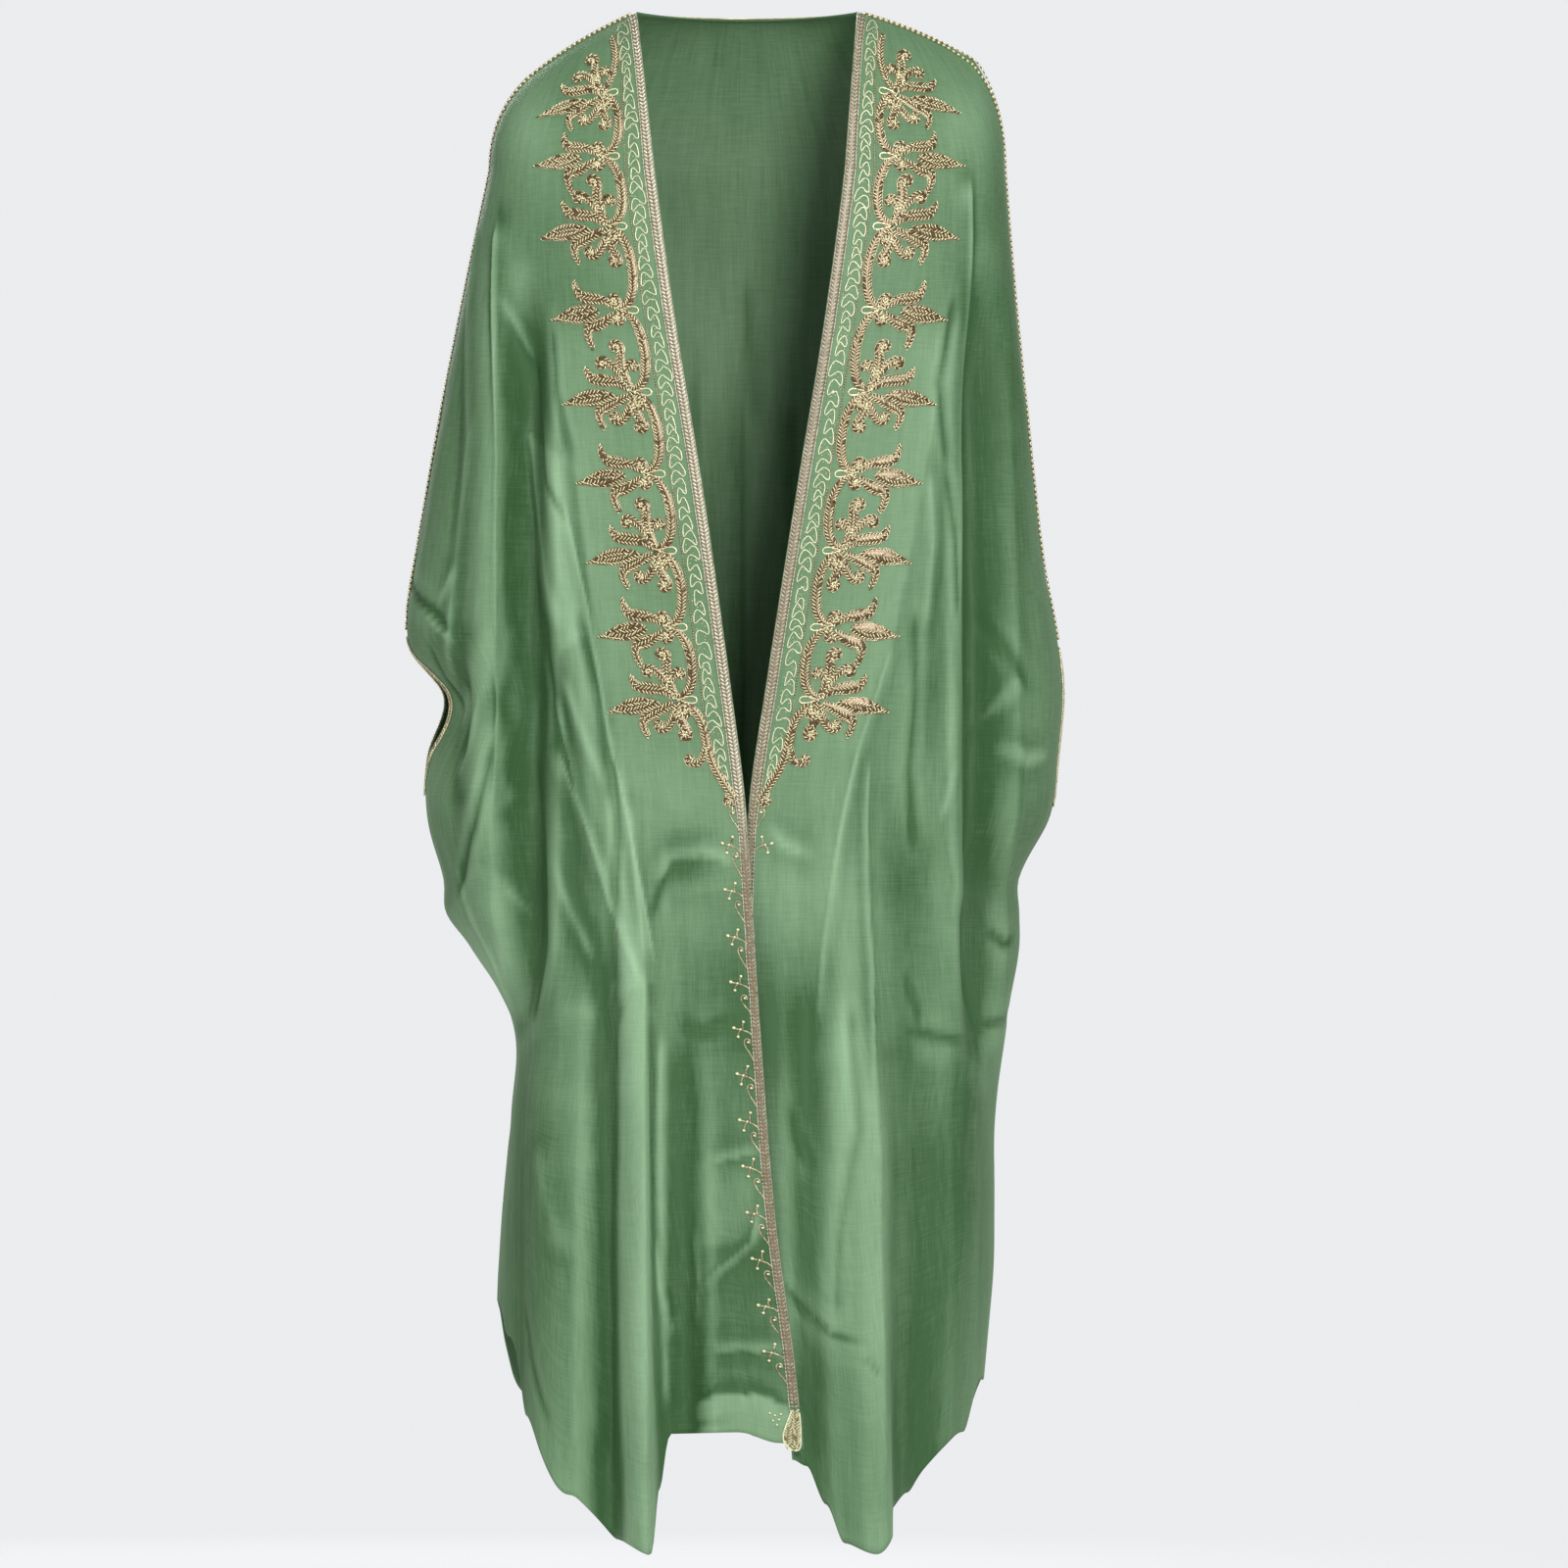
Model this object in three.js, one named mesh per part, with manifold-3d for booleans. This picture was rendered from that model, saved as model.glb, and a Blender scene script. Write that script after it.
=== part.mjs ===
// A bisht: a wide open-fronted robe of light green cloth, worn and hollow, with gold thread work down both fronts.
// Millimetres, +Z up. The wearer faces -Y, so the wearer's right is at -X. The origin lies between the two points
// where the shoulder seams meet the neck, at their height, which is where the robe rests on its wearer.
import * as THREE from "three";
import { mergeVertices } from "three/addons/utils/BufferGeometryUtils.js";
import Module from "manifold-3d";

const wasm = await Module();
wasm.setup();

// Driving sizes
const CLOTH = 1.8; // thickness of a cloth wall
const GAP = 0.3; // between two pieces that meet at a seam
const SEAT = 0.35; // from a panel's face to the thread work that lies on it
const YOKE = -150; // height at which the cloth has come down off the shoulders
const LEVEL_END = -1000; // below this the rows of cloth slope towards the hem
const HEM_READ = -1300; // height at which the hem table's widths are read off the cloth
const ROUND = 0.8; // power of the section's sine and cosine: 1 is an ellipse, less is squarer
const NECK_HALF = 104; // from the middle to where a shoulder seam meets the neck
const NECK_BACK = 62; // how far the neckline goes back
const NECK_DROP = 6; // how far it drops behind
const NECK_SHARE = 0.44; // the share of the back's top edge, from the middle out, that is neckline
const SHOULDER_BOW = 5; // how far a shoulder seam bows up between its ends
const TIP_FALL = 0.6; // how steeply the cloth starts down from the shoulder's tip
const SHOULDER_CORE = { neck: { x: 54, z: -85 }, tip: { x: 135, z: -133 } };
const LAP_LIFT = 7; // how far the upper front stands off the under one where they lap
const BODY_SHARE = 0.54; // the share of a panel's half width that lies over the body, not over the arm
const BODY_WIDEST = 0.93; // the body's part ends by this share of the section's half width
const RIGHT = -1;
const LEFT = 1;

// The end of each shoulder seam
const SHOULDER_TIP = {
  [RIGHT]: { x: -204, y: 0, z: -61 },
  [LEFT]: { x: 214, y: -8, z: -46 },
};

// Sections of the worn robe going down: how far the cloth reaches to each side, to the front and to the back
const SECTIONS = [
  { z: -150, right: 242, left: 243, front: 104, back: 98 },
  { z: -250, right: 263, left: 251, front: 119, back: 112 },
  { z: -400, right: 292, left: 266, front: 131, back: 118 },
  { z: -525, right: 313, left: 281, front: 140, back: 120 },
  { z: -565, right: 320, left: 288, front: 142, back: 120 },
  { z: -600, right: 318, left: 294, front: 144, back: 121 },
  { z: -645, right: 286, left: 299, front: 146, back: 122 },
  { z: -706, right: 301, left: 293, front: 149, back: 124 },
  { z: -757, right: 302, left: 286, front: 151, back: 127 },
  { z: -820, right: 286, left: 257, front: 154, back: 130 },
  { z: -850, right: 284, left: 258, front: 155, back: 132 },
  { z: -880, right: 263, left: 258, front: 157, back: 134 },
  { z: -956, right: 221, left: 245, front: 160, back: 139 },
  { z: -1040, right: 223, left: 234, front: 164, back: 146 },
  { z: -1180, right: 234, left: 233, front: 169, back: 156 },
  { z: -1300, right: 237, left: 222, front: 172, back: 162 },
  { z: -1460, right: 237, left: 206, front: 174, back: 166 },
];

// Where each front's free edge runs, as seen from the front
const EDGES = [
  { z: 0, right: -104, left: 104 },
  { z: -130, right: -89, left: 94 },
  { z: -285, right: -68, left: 74 },
  { z: -451, right: -41, left: 47 },
  { z: -636, right: -15, left: 18 },
  { z: -746, right: -1, left: 2 },
  { z: -868, right: 7, left: -3 },
  { z: -960, right: 13, left: 3 },
  { z: -1145, right: 28, left: 18 },
  { z: -1265, right: 44, left: 34 },
  { z: -1460, right: 64, left: 52 },
];

// Where the cloth tucks in between the body and the arm, as a distance from the middle
const ARM_LINE = {
  [RIGHT]: { front: 210, back: 212 },
  [LEFT]: { front: 224, back: 210 },
};

// The hand openings in the side seams: where they start and end, and how far each lip stands from the seam's line
const HAND = {
  [RIGHT]: { top: -588, bottom: -742, frontLip: 46, backLip: 9 },
  [LEFT]: { top: -598, bottom: -752, frontLip: 9, backLip: 42 },
};

// Height of the hem against the distance from the middle, from each front's edge to the side, then across the back
const HEM_FRONT = {
  [RIGHT]: [
    { x: 56, z: -1353 },
    { x: 26, z: -1346 },
    { x: -11, z: -1336 },
    { x: -74, z: -1338 },
    { x: -88, z: -1388 },
    { x: -102, z: -1450 },
    { x: -128, z: -1437 },
    { x: -159, z: -1395 },
    { x: -201, z: -1322 },
    { x: -224, z: -1248 },
    { x: -237, z: -1216 },
  ],
  [LEFT]: [
    { x: 38, z: -1362 },
    { x: 52, z: -1368 },
    { x: 68, z: -1404 },
    { x: 82, z: -1440 },
    { x: 104, z: -1450 },
    { x: 124, z: -1434 },
    { x: 133, z: -1407 },
    { x: 157, z: -1394 },
    { x: 206, z: -1338 },
    { x: 218, z: -1290 },
  ],
};
const HEM_BACK = { centre: -1322, dip: 14, dips: 5 };

// Thread work: widths and heights of its pieces, and how far each lies from the edge it follows
const BRAID = { from: 0.8, to: 11.8, height: 1.1 };
const NECK_BRAID = { from: 0.012, to: 0.155 }; // shares of the way from the neckline to the next row of cloth
const CORD = { row: [0.014, 0.045], share: [0.997, 0.985], height: 1.6, seat: 0.7, start: 0.12 };
const CUFF = { from: 0.8, to: 5.4, height: 1.2, seat: 1.0, ends: 12, steps: 2 };
const SCROLL_SEAT = 1.1; // the scroll's cords stand a little higher off the cloth than flat braid
const SCROLL_STEP = 19; // longest stretch of a stroke between two of its rings
const SCROLL_FINE = 0.3; // details of the joined scroll smaller than this are left out
const SCROLL_TOP = -8; // the scroll stays below this height, clear of the shoulder seam
const VINE = { d: 52, bulge: 18, width: 7.5, height: 1.5 };

// Heights of the motifs down each front's scroll: a lily between two buds, or one that sends out curls
const MOTIFS = [
  { z: -72, kind: "curled" },
  { z: -138, kind: "budded" },
  { z: -205, kind: "curled" },
  { z: -284, kind: "budded" },
  { z: -361, kind: "curled" },
  { z: -438, kind: "budded" },
  { z: -510, kind: "curled" },
  { z: -582, kind: "budded" },
  { z: -650, kind: "curled" },
];

// Strokes of the two motifs: places out from the vine and up from the motif's middle, with the stroke's width at each
const STROKES = {
  curled: [
    { height: 2.2, way: [[2, -2, 6], [16, -8, 6], [44, -14, 14], [64, -20, 1.5]] },
    { height: 2.0, way: [[4, 0, 5], [26, 2, 7], [42, 8, 8], [47, 21, 1.5]] },
    { height: 1.8, way: [[4, -3, 5], [25, -17, 7], [37, -26, 7], [36, -41, 1.5]] },
    { height: 1.9, way: [[3, 2, 5], [11, 18, 8], [10, 34, 6], [14, 48, 9]] },
    { height: 2.0, way: [[3, -3, 5], [12, -22, 8], [5, -38, 6], [4, -54, 9]] },
  ],
  budded: [
    { height: 2.2, way: [[2, 0, 6], [20, -4, 6], [52, -8, 14], [72, -13, 1.5]] },
    { height: 2.0, way: [[4, 1, 5], [26, 5, 7], [40, 8, 8], [43, 20, 1.5]] },
    { height: 1.8, way: [[4, -1, 5], [26, -13, 7], [38, -19, 8], [39, -35, 1.5]] },
    { height: 1.7, way: [[9, 18, 6], [6, 9, 13], [3, -1, 6], [6, -11, 13], [9, -20, 6]] },
  ],
};

// Folds that run down the cloth: where each starts and ends as seen from its own face, its half width across, how far
// it stands out (or in, below 0) at each end, how far its crest leans towards the side, and how sharp the crest is
const FOLDS = [
  { face: "front", side: RIGHT, x: -204, z: -290, toX: -142, toZ: -780, half: 24, out: 5, toOut: 7, lean: 0, sharp: 1 },
  { face: "front", side: RIGHT, x: -184, z: -560, toX: -150, toZ: -1000, half: 28, out: -6, toOut: -8, lean: 0, sharp: 1 },
  { face: "front", side: RIGHT, x: -210, z: -240, toX: -210, toZ: -980, half: 36, out: -30, toOut: -38, lean: 0, sharp: 1 },
  { face: "front", side: RIGHT, x: -244, z: -190, toX: -252, toZ: -880, half: 32, out: 10, toOut: 14, lean: -8, sharp: 1 },
  { face: "front", side: RIGHT, x: -182, z: -880, toX: -172, toZ: -1460, half: 62, out: 8, toOut: 26, lean: 0, sharp: 1 },
  { face: "front", side: RIGHT, x: -139, z: -800, toX: -131, toZ: -1460, half: 24, out: -9, toOut: -14, lean: 0, sharp: 1.2 },
  { face: "front", side: RIGHT, x: -114, z: -800, toX: -101, toZ: -1460, half: 30, out: 8, toOut: 38, lean: -14, sharp: 1.1 },
  { face: "front", side: RIGHT, x: -60, z: -900, toX: -56, toZ: -1460, half: 28, out: -10, toOut: -18, lean: 0, sharp: 1 },
  { face: "front", side: LEFT, x: 60, z: -820, toX: 66, toZ: -1460, half: 32, out: -9, toOut: -14, lean: 0, sharp: 1 },
  { face: "front", side: LEFT, x: 92, z: -700, toX: 88, toZ: -1400, half: 44, out: 10, toOut: 12, lean: 0, sharp: 1 },
  { face: "front", side: LEFT, x: 113, z: -920, toX: 116, toZ: -1460, half: 34, out: 10, toOut: 30, lean: 4, sharp: 1.4 },
  { face: "front", side: LEFT, x: 152, z: -700, toX: 170, toZ: -1460, half: 40, out: -12, toOut: -12, lean: 0, sharp: 1 },
  { face: "front", side: LEFT, x: 206, z: -290, toX: 168, toZ: -780, half: 26, out: -6, toOut: -8, lean: 0, sharp: 1 },
  { face: "front", side: LEFT, x: 224, z: -220, toX: 224, toZ: -1020, half: 38, out: -30, toOut: -34, lean: 0, sharp: 1 },
  { face: "back", side: RIGHT, x: -212, z: -230, toX: -212, toZ: -1000, half: 44, out: -34, toOut: -34, lean: 0, sharp: 1 },
  { face: "back", side: RIGHT, x: -170, z: -330, toX: -166, toZ: -1400, half: 44, out: 8, toOut: 28, lean: 6, sharp: 1.1 },
  { face: "back", side: RIGHT, x: -118, z: -360, toX: -122, toZ: -1400, half: 38, out: -9, toOut: -24, lean: 0, sharp: 1 },
  { face: "back", side: RIGHT, x: -70, z: -300, toX: -76, toZ: -1400, half: 42, out: 7, toOut: 28, lean: 0, sharp: 1.1 },
  { face: "back", side: RIGHT, x: -26, z: -430, toX: -30, toZ: -1400, half: 32, out: -7, toOut: -20, lean: 0, sharp: 1 },
  { face: "back", side: LEFT, x: 16, z: -300, toX: 20, toZ: -1400, half: 38, out: 6, toOut: 22, lean: 0, sharp: 1.1 },
  { face: "back", side: LEFT, x: 66, z: -390, toX: 72, toZ: -1400, half: 38, out: -9, toOut: -26, lean: 0, sharp: 1 },
  { face: "back", side: LEFT, x: 118, z: -300, toX: 126, toZ: -1400, half: 44, out: 8, toOut: 28, lean: 6, sharp: 1.1 },
  { face: "back", side: LEFT, x: 164, z: -420, toX: 170, toZ: -1400, half: 34, out: -8, toOut: -22, lean: 0, sharp: 1 },
  { face: "back", side: LEFT, x: 210, z: -220, toX: 210, toZ: -1000, half: 42, out: -30, toOut: -32, lean: 0, sharp: 1 },
];
const FOLD_FADE = 150; // a fold comes up, and dies away, over this much height
const REACHES_HEM = -1390; // a fold that ends below this runs out through the hem

const COLOUR = { cloth: 0x6f9f6c, gold: 0xc9ab74 };

// Small helpers
const mix = (a, b, t) => a + (b - a) * t;
const clamp = (x, low, high) => Math.min(high, Math.max(low, x));
const signed = (x, power) => Math.sign(x) * Math.abs(x) ** power;

function ease(x, from, to) {
  const t = clamp((x - from) / (to - from), 0, 1);
  return t * t * (3 - 2 * t);
}

// A smooth curve through one column of a table whose rows go down in z.
function down(table, key, z) {
  let i = 0;
  while (i < table.length - 2 && z < table[i + 1].z) i++;
  const slope = (k) => (table[k + 1][key] - table[k][key]) / (table[k + 1].z - table[k].z);
  const here = slope(i);
  const before = i > 0 ? (slope(i - 1) + here) / 2 : here;
  const after = i < table.length - 2 ? (slope(i + 1) + here) / 2 : here;
  const span = table[i + 1].z - table[i].z;
  const t = clamp((z - table[i].z) / span, 0, 1);
  const rise = t * t * (3 - 2 * t);
  return (
    mix(table[i][key], table[i + 1][key], rise) +
    span * t * (1 - t) * ((1 - t) * before - t * after)
  );
}

const sideName = (side) => (side === RIGHT ? "right" : "left");
const halfWidth = (side, z) => down(SECTIONS, sideName(side), z);
const edgeX = (side, z) => down(EDGES, sideName(side), z);

// The section's outline at one height: angle 0 is the middle of the front, half pi the side, pi the middle of the back
function outline(side, angle, z) {
  const reach = Math.cos(angle) > 0 ? down(SECTIONS, "front", z) : down(SECTIONS, "back", z);
  return {
    x: side * halfWidth(side, z) * signed(Math.sin(angle), ROUND),
    y: -reach * signed(Math.cos(angle), ROUND),
  };
}

function angleAt(side, x, z, face) {
  const share = clamp((side * x) / halfWidth(side, z), -1, 1);
  const angle = Math.asin(signed(share, 1 / ROUND));
  return face === "front" ? angle : Math.PI - angle;
}

// Distances along the section's outline, measured from the front's free edge
const RING_STEPS = 240;
const rings = new Map();
function ring(side, z) {
  const key = side + ":" + z.toFixed(2);
  if (!rings.has(key)) {
    const start = angleAt(side, edgeX(side, z), z, "front");
    const along = [0];
    let last = outline(side, start, z);
    for (let i = 1; i <= RING_STEPS; i++) {
      const next = outline(side, mix(start, Math.PI, i / RING_STEPS), z);
      along.push(along[i - 1] + Math.hypot(next.x - last.x, next.y - last.y));
      last = next;
    }
    rings.set(key, { start, along });
  }
  return rings.get(key);
}

function distanceAt(side, angle, z) {
  const { start, along } = ring(side, z);
  const at = clamp((angle - start) / (Math.PI - start), 0, 1) * RING_STEPS;
  const i = Math.min(RING_STEPS - 1, Math.floor(at));
  return mix(along[i], along[i + 1], at - i);
}

function angleAtDistance(side, distance, z) {
  const { start, along } = ring(side, z);
  let low = 0;
  let high = RING_STEPS;
  while (high - low > 1) {
    const middle = (low + high) >> 1;
    if (along[middle] > distance) high = middle;
    else low = middle;
  }
  const t = (distance - along[low]) / (along[low + 1] - along[low]);
  return mix(start, Math.PI, (low + t) / RING_STEPS);
}

// How far the folds push the cloth out, and sideways, at one place
function foldsAt(side, distance, z) {
  let out = 0;
  let along = 0;
  for (const fold of FOLDS) {
    if (fold.side !== side || z > fold.z || (z < fold.toZ && fold.toZ > REACHES_HEM)) continue;
    const t = clamp((z - fold.z) / (fold.toZ - fold.z), 0, 1);
    const centre = distanceAt(side, angleAt(side, mix(fold.x, fold.toX, t), z, fold.face), z);
    const off = Math.abs(distance - centre) / fold.half;
    if (off >= 1) continue;
    const ends = ease(fold.z - z, 0, FOLD_FADE) * (fold.toZ > REACHES_HEM ? ease(z - fold.toZ, 0, FOLD_FADE) : 1);
    const crest = (0.5 + 0.5 * Math.cos(Math.PI * off)) ** fold.sharp * ends;
    out += mix(fold.out, fold.toOut, t) * crest;
    along += fold.lean * crest;
  }
  return { out, along };
}

// The right front laps over the left one below the place where they meet
function lapAt(side, distance, z) {
  if (side !== RIGHT) return 0;
  return LAP_LIFT * ease(-z, 660, 800) * (1 - ease(distance, 55, 120));
}

// The cloth's outer face at a height, at a distance round from the front's free edge
function skin(side, distance, z) {
  const angle = angleAtDistance(side, distance, z);
  const here = outline(side, angle, z);
  const step = 0.01;
  const ahead = outline(side, angle + step, z);
  const behind = outline(side, angle - step, z);
  const length = Math.hypot(ahead.x - behind.x, ahead.y - behind.y);
  const tangent = { x: (ahead.x - behind.x) / length, y: (ahead.y - behind.y) / length };
  const { out, along } = foldsAt(side, distance, z);
  const lift = out + lapAt(side, distance, z);
  return new THREE.Vector3(
    here.x + tangent.x * along + side * tangent.y * lift,
    here.y + tangent.y * along - side * tangent.x * lift,
    z,
  );
}

// Landmarks round the section, as distances from the front's free edge
function armLine(side, z, face) {
  const x = Math.min(ARM_LINE[side][face], BODY_WIDEST * halfWidth(side, z));
  return distanceAt(side, angleAt(side, side * x, z, face), z);
}

const sideDistance = (side, z) => distanceAt(side, Math.PI / 2, z);
const backDistance = (side, z) => distanceAt(side, Math.PI, z);

function lipAt(side, z, lip) {
  const { top, bottom } = HAND[side];
  return z < top && z > bottom ? HAND[side][lip] * Math.sin((Math.PI * (z - top)) / (bottom - top)) : 0;
}

// The height of the hem, against the share of the way from the front's edge to the side, then across the back
function hemFront(side, share) {
  const line = armLine(side, HEM_READ, "front");
  const seam = sideDistance(side, HEM_READ);
  const distance = share < BODY_SHARE ? (share / BODY_SHARE) * line : mix(line, seam, (share - BODY_SHARE) / (1 - BODY_SHARE));
  const angle = angleAtDistance(side, distance, HEM_READ);
  const x = side * outline(side, angle, HEM_READ).x;
  const rows = HEM_FRONT[side];
  let i = 0;
  while (i < rows.length - 2 && x > side * rows[i + 1].x) i++;
  return mix(rows[i].z, rows[i + 1].z, ease(x, side * rows[i].x, side * rows[i + 1].x));
}

function hemBack(share) {
  const atSide = HEM_FRONT[share < 0 ? RIGHT : LEFT].at(-1).z;
  const wave = HEM_BACK.dip * Math.cos(HEM_BACK.dips * Math.PI * share) * (1 - share ** 2);
  return mix(HEM_BACK.centre, atSide, ease(Math.abs(share), 0.35, 1)) + wave;
}

// The shoulder seam, from the neck to the shoulder's tip
function shoulderSeam(side, along) {
  const tip = SHOULDER_TIP[side];
  const bow = SHOULDER_BOW * Math.sin(Math.PI * along);
  return new THREE.Vector3(mix(side * NECK_HALF, tip.x, along), tip.y * along, tip.z * along + bow);
}

// The back's top edge: a shoulder seam, the neckline round the back of the neck, and the other shoulder seam
function backTop(share) {
  const side = share < 0 ? RIGHT : LEFT;
  const far = Math.abs(share);
  if (far > NECK_SHARE) return shoulderSeam(side, (far - NECK_SHARE) / (1 - NECK_SHARE));
  const t = far / NECK_SHARE;
  const back = Math.cos((Math.PI / 2) * t) ** 0.75;
  return new THREE.Vector3(side * NECK_HALF * t, NECK_BACK * back, -NECK_DROP * back);
}

// From the seam over the shoulder and down to the yoke's level: turn is 0 at the seam and 1 at the level
function overShoulder(from, side, distance, turn) {
  const to = skin(side, distance, YOKE);
  const sideness = Math.sin(angleAtDistance(side, distance, YOKE)) ** 2;
  const across = Math.sin((Math.PI / 2) * turn);
  const round = 1 - Math.cos((Math.PI / 2) * turn);
  const sideways = mix(round, across, sideness);
  const fall = mix(round, turn * (TIP_FALL + (1 - TIP_FALL) * turn), sideness);
  return new THREE.Vector3(mix(from.x, to.x, sideways), mix(from.y, to.y, across), mix(from.z, to.z, fall));
}

// Inside each shoulder a line runs from under the neck to under the tip, and the cloth above faces away from it
function awayFromShoulder(point, side, along) {
  const { neck, tip } = SHOULDER_CORE;
  return point.clone().sub(new THREE.Vector3(side * mix(neck.x, tip.x, along), 0, mix(neck.z, tip.z, along))).normalize();
}

// Each panel is a surface over (u, row). On a front u runs from its free edge to the side seam, on the back from one
// side seam to the other; row is 0 at the top, 1 at the yoke's level, 2 where the level rows end and 3 at the hem.
const levelOf = (row) => mix(YOKE, LEVEL_END, row - 1);
const rowOf = (z) => 1 + (YOKE - z) / (YOKE - LEVEL_END);

function frontSurface(side) {
  return (u, row) => {
    const place = (z) => {
      const line = armLine(side, z, "front");
      const seam = sideDistance(side, z) - lipAt(side, z, "frontLip") - GAP / 2;
      return u < BODY_SHARE ? (u / BODY_SHARE) * line : mix(line, seam, (u - BODY_SHARE) / (1 - BODY_SHARE));
    };
    if (row < 1) {
      const from = shoulderSeam(side, u);
      from.y -= GAP / 2;
      return overShoulder(from, side, place(YOKE), row);
    }
    const z = row < 2 ? levelOf(row) : mix(LEVEL_END, hemFront(side, u), row - 2);
    return skin(side, place(z), z);
  };
}

function backSurface(share, row) {
  const side = share < 0 ? RIGHT : LEFT;
  const place = (z) => {
    const far = Math.abs(share);
    const middle = backDistance(side, z);
    const line = armLine(side, z, "back");
    const seam = sideDistance(side, z) + lipAt(side, z, "backLip") + GAP / 2;
    return far < BODY_SHARE ? mix(middle, line, far / BODY_SHARE) : mix(line, seam, (far - BODY_SHARE) / (1 - BODY_SHARE));
  };
  if (row < 1) {
    const from = backTop(share);
    from.y += GAP / 2;
    return overShoulder(from, side, place(YOKE), row);
  }
  const z = row < 2 ? levelOf(row) : mix(LEVEL_END, hemBack(share), row - 2);
  return skin(side, place(z), z);
}

// Panels: the surface's points on a grid, with the direction that faces out of the cloth at each one
function directionOut(surface, u, row, low, high, turned) {
  const du = (high - low) / 300;
  const dr = 0.004;
  const across = surface(Math.min(u + du, high), row).sub(surface(Math.max(u - du, low), row));
  const below = surface(u, Math.min(row + dr, 3)).sub(surface(u, Math.max(row - dr, 0)));
  return across.cross(below).normalize().multiplyScalar(turned);
}

function makePanel(surface, shoulderAt, columns, rows, turned) {
  const panel = { columns, rows, turned, points: [], normals: [] };
  for (const row of rows) {
    for (const u of columns) {
      const point = surface(u, row);
      const { side, along } = shoulderAt(u);
      const normal = directionOut(surface, u, row, columns[0], columns.at(-1), turned);
      panel.points.push(point);
      panel.normals.push(awayFromShoulder(point, side, along).lerp(normal, ease(row, 0, 0.8)).normalize());
    }
  }
  return panel;
}

// A place on a panel's own facets, lifted off them
function onPanel(panel, u, row, lift) {
  const { columns, rows, points, normals } = panel;
  let i = 0;
  while (i < columns.length - 2 && u > columns[i + 1]) i++;
  let j = 0;
  while (j < rows.length - 2 && row > rows[j + 1]) j++;
  const s = (u - columns[i]) / (columns[i + 1] - columns[i]);
  const t = (row - rows[j]) / (rows[j + 1] - rows[j]);
  const a = j * columns.length + i;
  const b = a + columns.length;
  // The facets are split from the first corner to the opposite one
  const shares = s < t ? [[a, 1 - t], [b, t - s], [b + 1, s]] : [[a, 1 - s], [a + 1, s - t], [b + 1, t]];
  const point = new THREE.Vector3();
  const normal = new THREE.Vector3();
  for (const [k, share] of shares) {
    point.addScaledVector(points[k], share);
    normal.addScaledVector(normals[k], share);
  }
  return point.addScaledVector(normal.normalize(), lift);
}

function geometryOf(points, faces) {
  const geometry = new THREE.BufferGeometry();
  geometry.setAttribute("position", new THREE.Float32BufferAttribute(points.flatMap((p) => p.toArray()), 3));
  geometry.setIndex(faces.flat());
  return geometry;
}

// Two faces of a grid and the rim that joins them
function closedGrid(outer, inner, wide, deep, turned) {
  const behind = outer.length;
  const faces = [];
  const quad = (a, b, c, d) => faces.push([a, b, c], [a, c, d]);
  for (let j = 0; j < deep - 1; j++) {
    for (let i = 0; i < wide - 1; i++) {
      const a = j * wide + i;
      quad(a, a + wide, a + wide + 1, a + 1);
      faces.push([behind + a, behind + a + wide + 1, behind + a + wide]);
      faces.push([behind + a, behind + a + 1, behind + a + wide + 1]);
    }
  }
  const rim = [];
  for (let i = 0; i < wide - 1; i++) rim.push(i);
  for (let j = 0; j < deep - 1; j++) rim.push(j * wide + wide - 1);
  for (let i = wide - 1; i > 0; i--) rim.push((deep - 1) * wide + i);
  for (let j = deep - 1; j > 0; j--) rim.push(j * wide);
  rim.forEach((a, k) => {
    const b = rim[(k + 1) % rim.length];
    quad(a, b, behind + b, behind + a);
  });
  if (turned > 0) faces.forEach((face) => face.reverse());
  return geometryOf([...outer, ...inner], faces);
}

function clothWall(panel) {
  const inner = panel.points.map((point, k) => point.clone().addScaledVector(panel.normals[k], -CLOTH));
  return closedGrid(panel.points, inner, panel.columns.length, panel.rows.length, panel.turned);
}

// Thread work that lies on a panel: a strip between two edges, given as places (u, row) at each step of its way
function strip(panel, leftEdge, rightEdge, height, turned, seat = SEAT) {
  const outer = [];
  const inner = [];
  leftEdge.forEach((left, k) => {
    for (const [u, row] of [left, rightEdge[k]]) {
      outer.push(onPanel(panel, u, row, seat + height));
      inner.push(onPanel(panel, u, row, seat));
    }
  });
  return closedGrid(outer, inner, 2, leftEdge.length, turned);
}

// The panel's share u at a distance in from a front's free edge
function shareAt(side, d, row) {
  const line = armLine(side, row < 1 ? YOKE : Math.max(levelOf(row), LEVEL_END), "front");
  const onSeam = shoulderSeam(side, 0).distanceTo(shoulderSeam(side, 1));
  const reach = row < 1 ? mix(onSeam, line / BODY_SHARE, Math.sin((Math.PI / 2) * row)) : line / BODY_SHARE;
  return clamp(d / reach, 0, 1);
}

// The panel's row at a height, above the yoke's level or below it
const rowAt = (z) => (z < YOKE ? rowOf(z) : (2 / Math.PI) * Math.acos(clamp(1 - z / YOKE, 0, 1)));

// A ridge with a three-cornered section through rings of three points
function ridge(rings, turned) {
  const faces = [[0, 2, 1]];
  for (let k = 0; k < rings.length - 1; k++) {
    for (let i = 0; i < 3; i++) {
      const a = 3 * k + i;
      const b = 3 * k + ((i + 1) % 3);
      faces.push([a, b, b + 3], [a, b + 3, a + 3]);
    }
  }
  const end = 3 * (rings.length - 1);
  faces.push([end, end + 1, end + 2]);
  if (turned > 0) faces.forEach((face) => face.reverse());
  return geometryOf(rings.flat(), faces);
}

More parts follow.
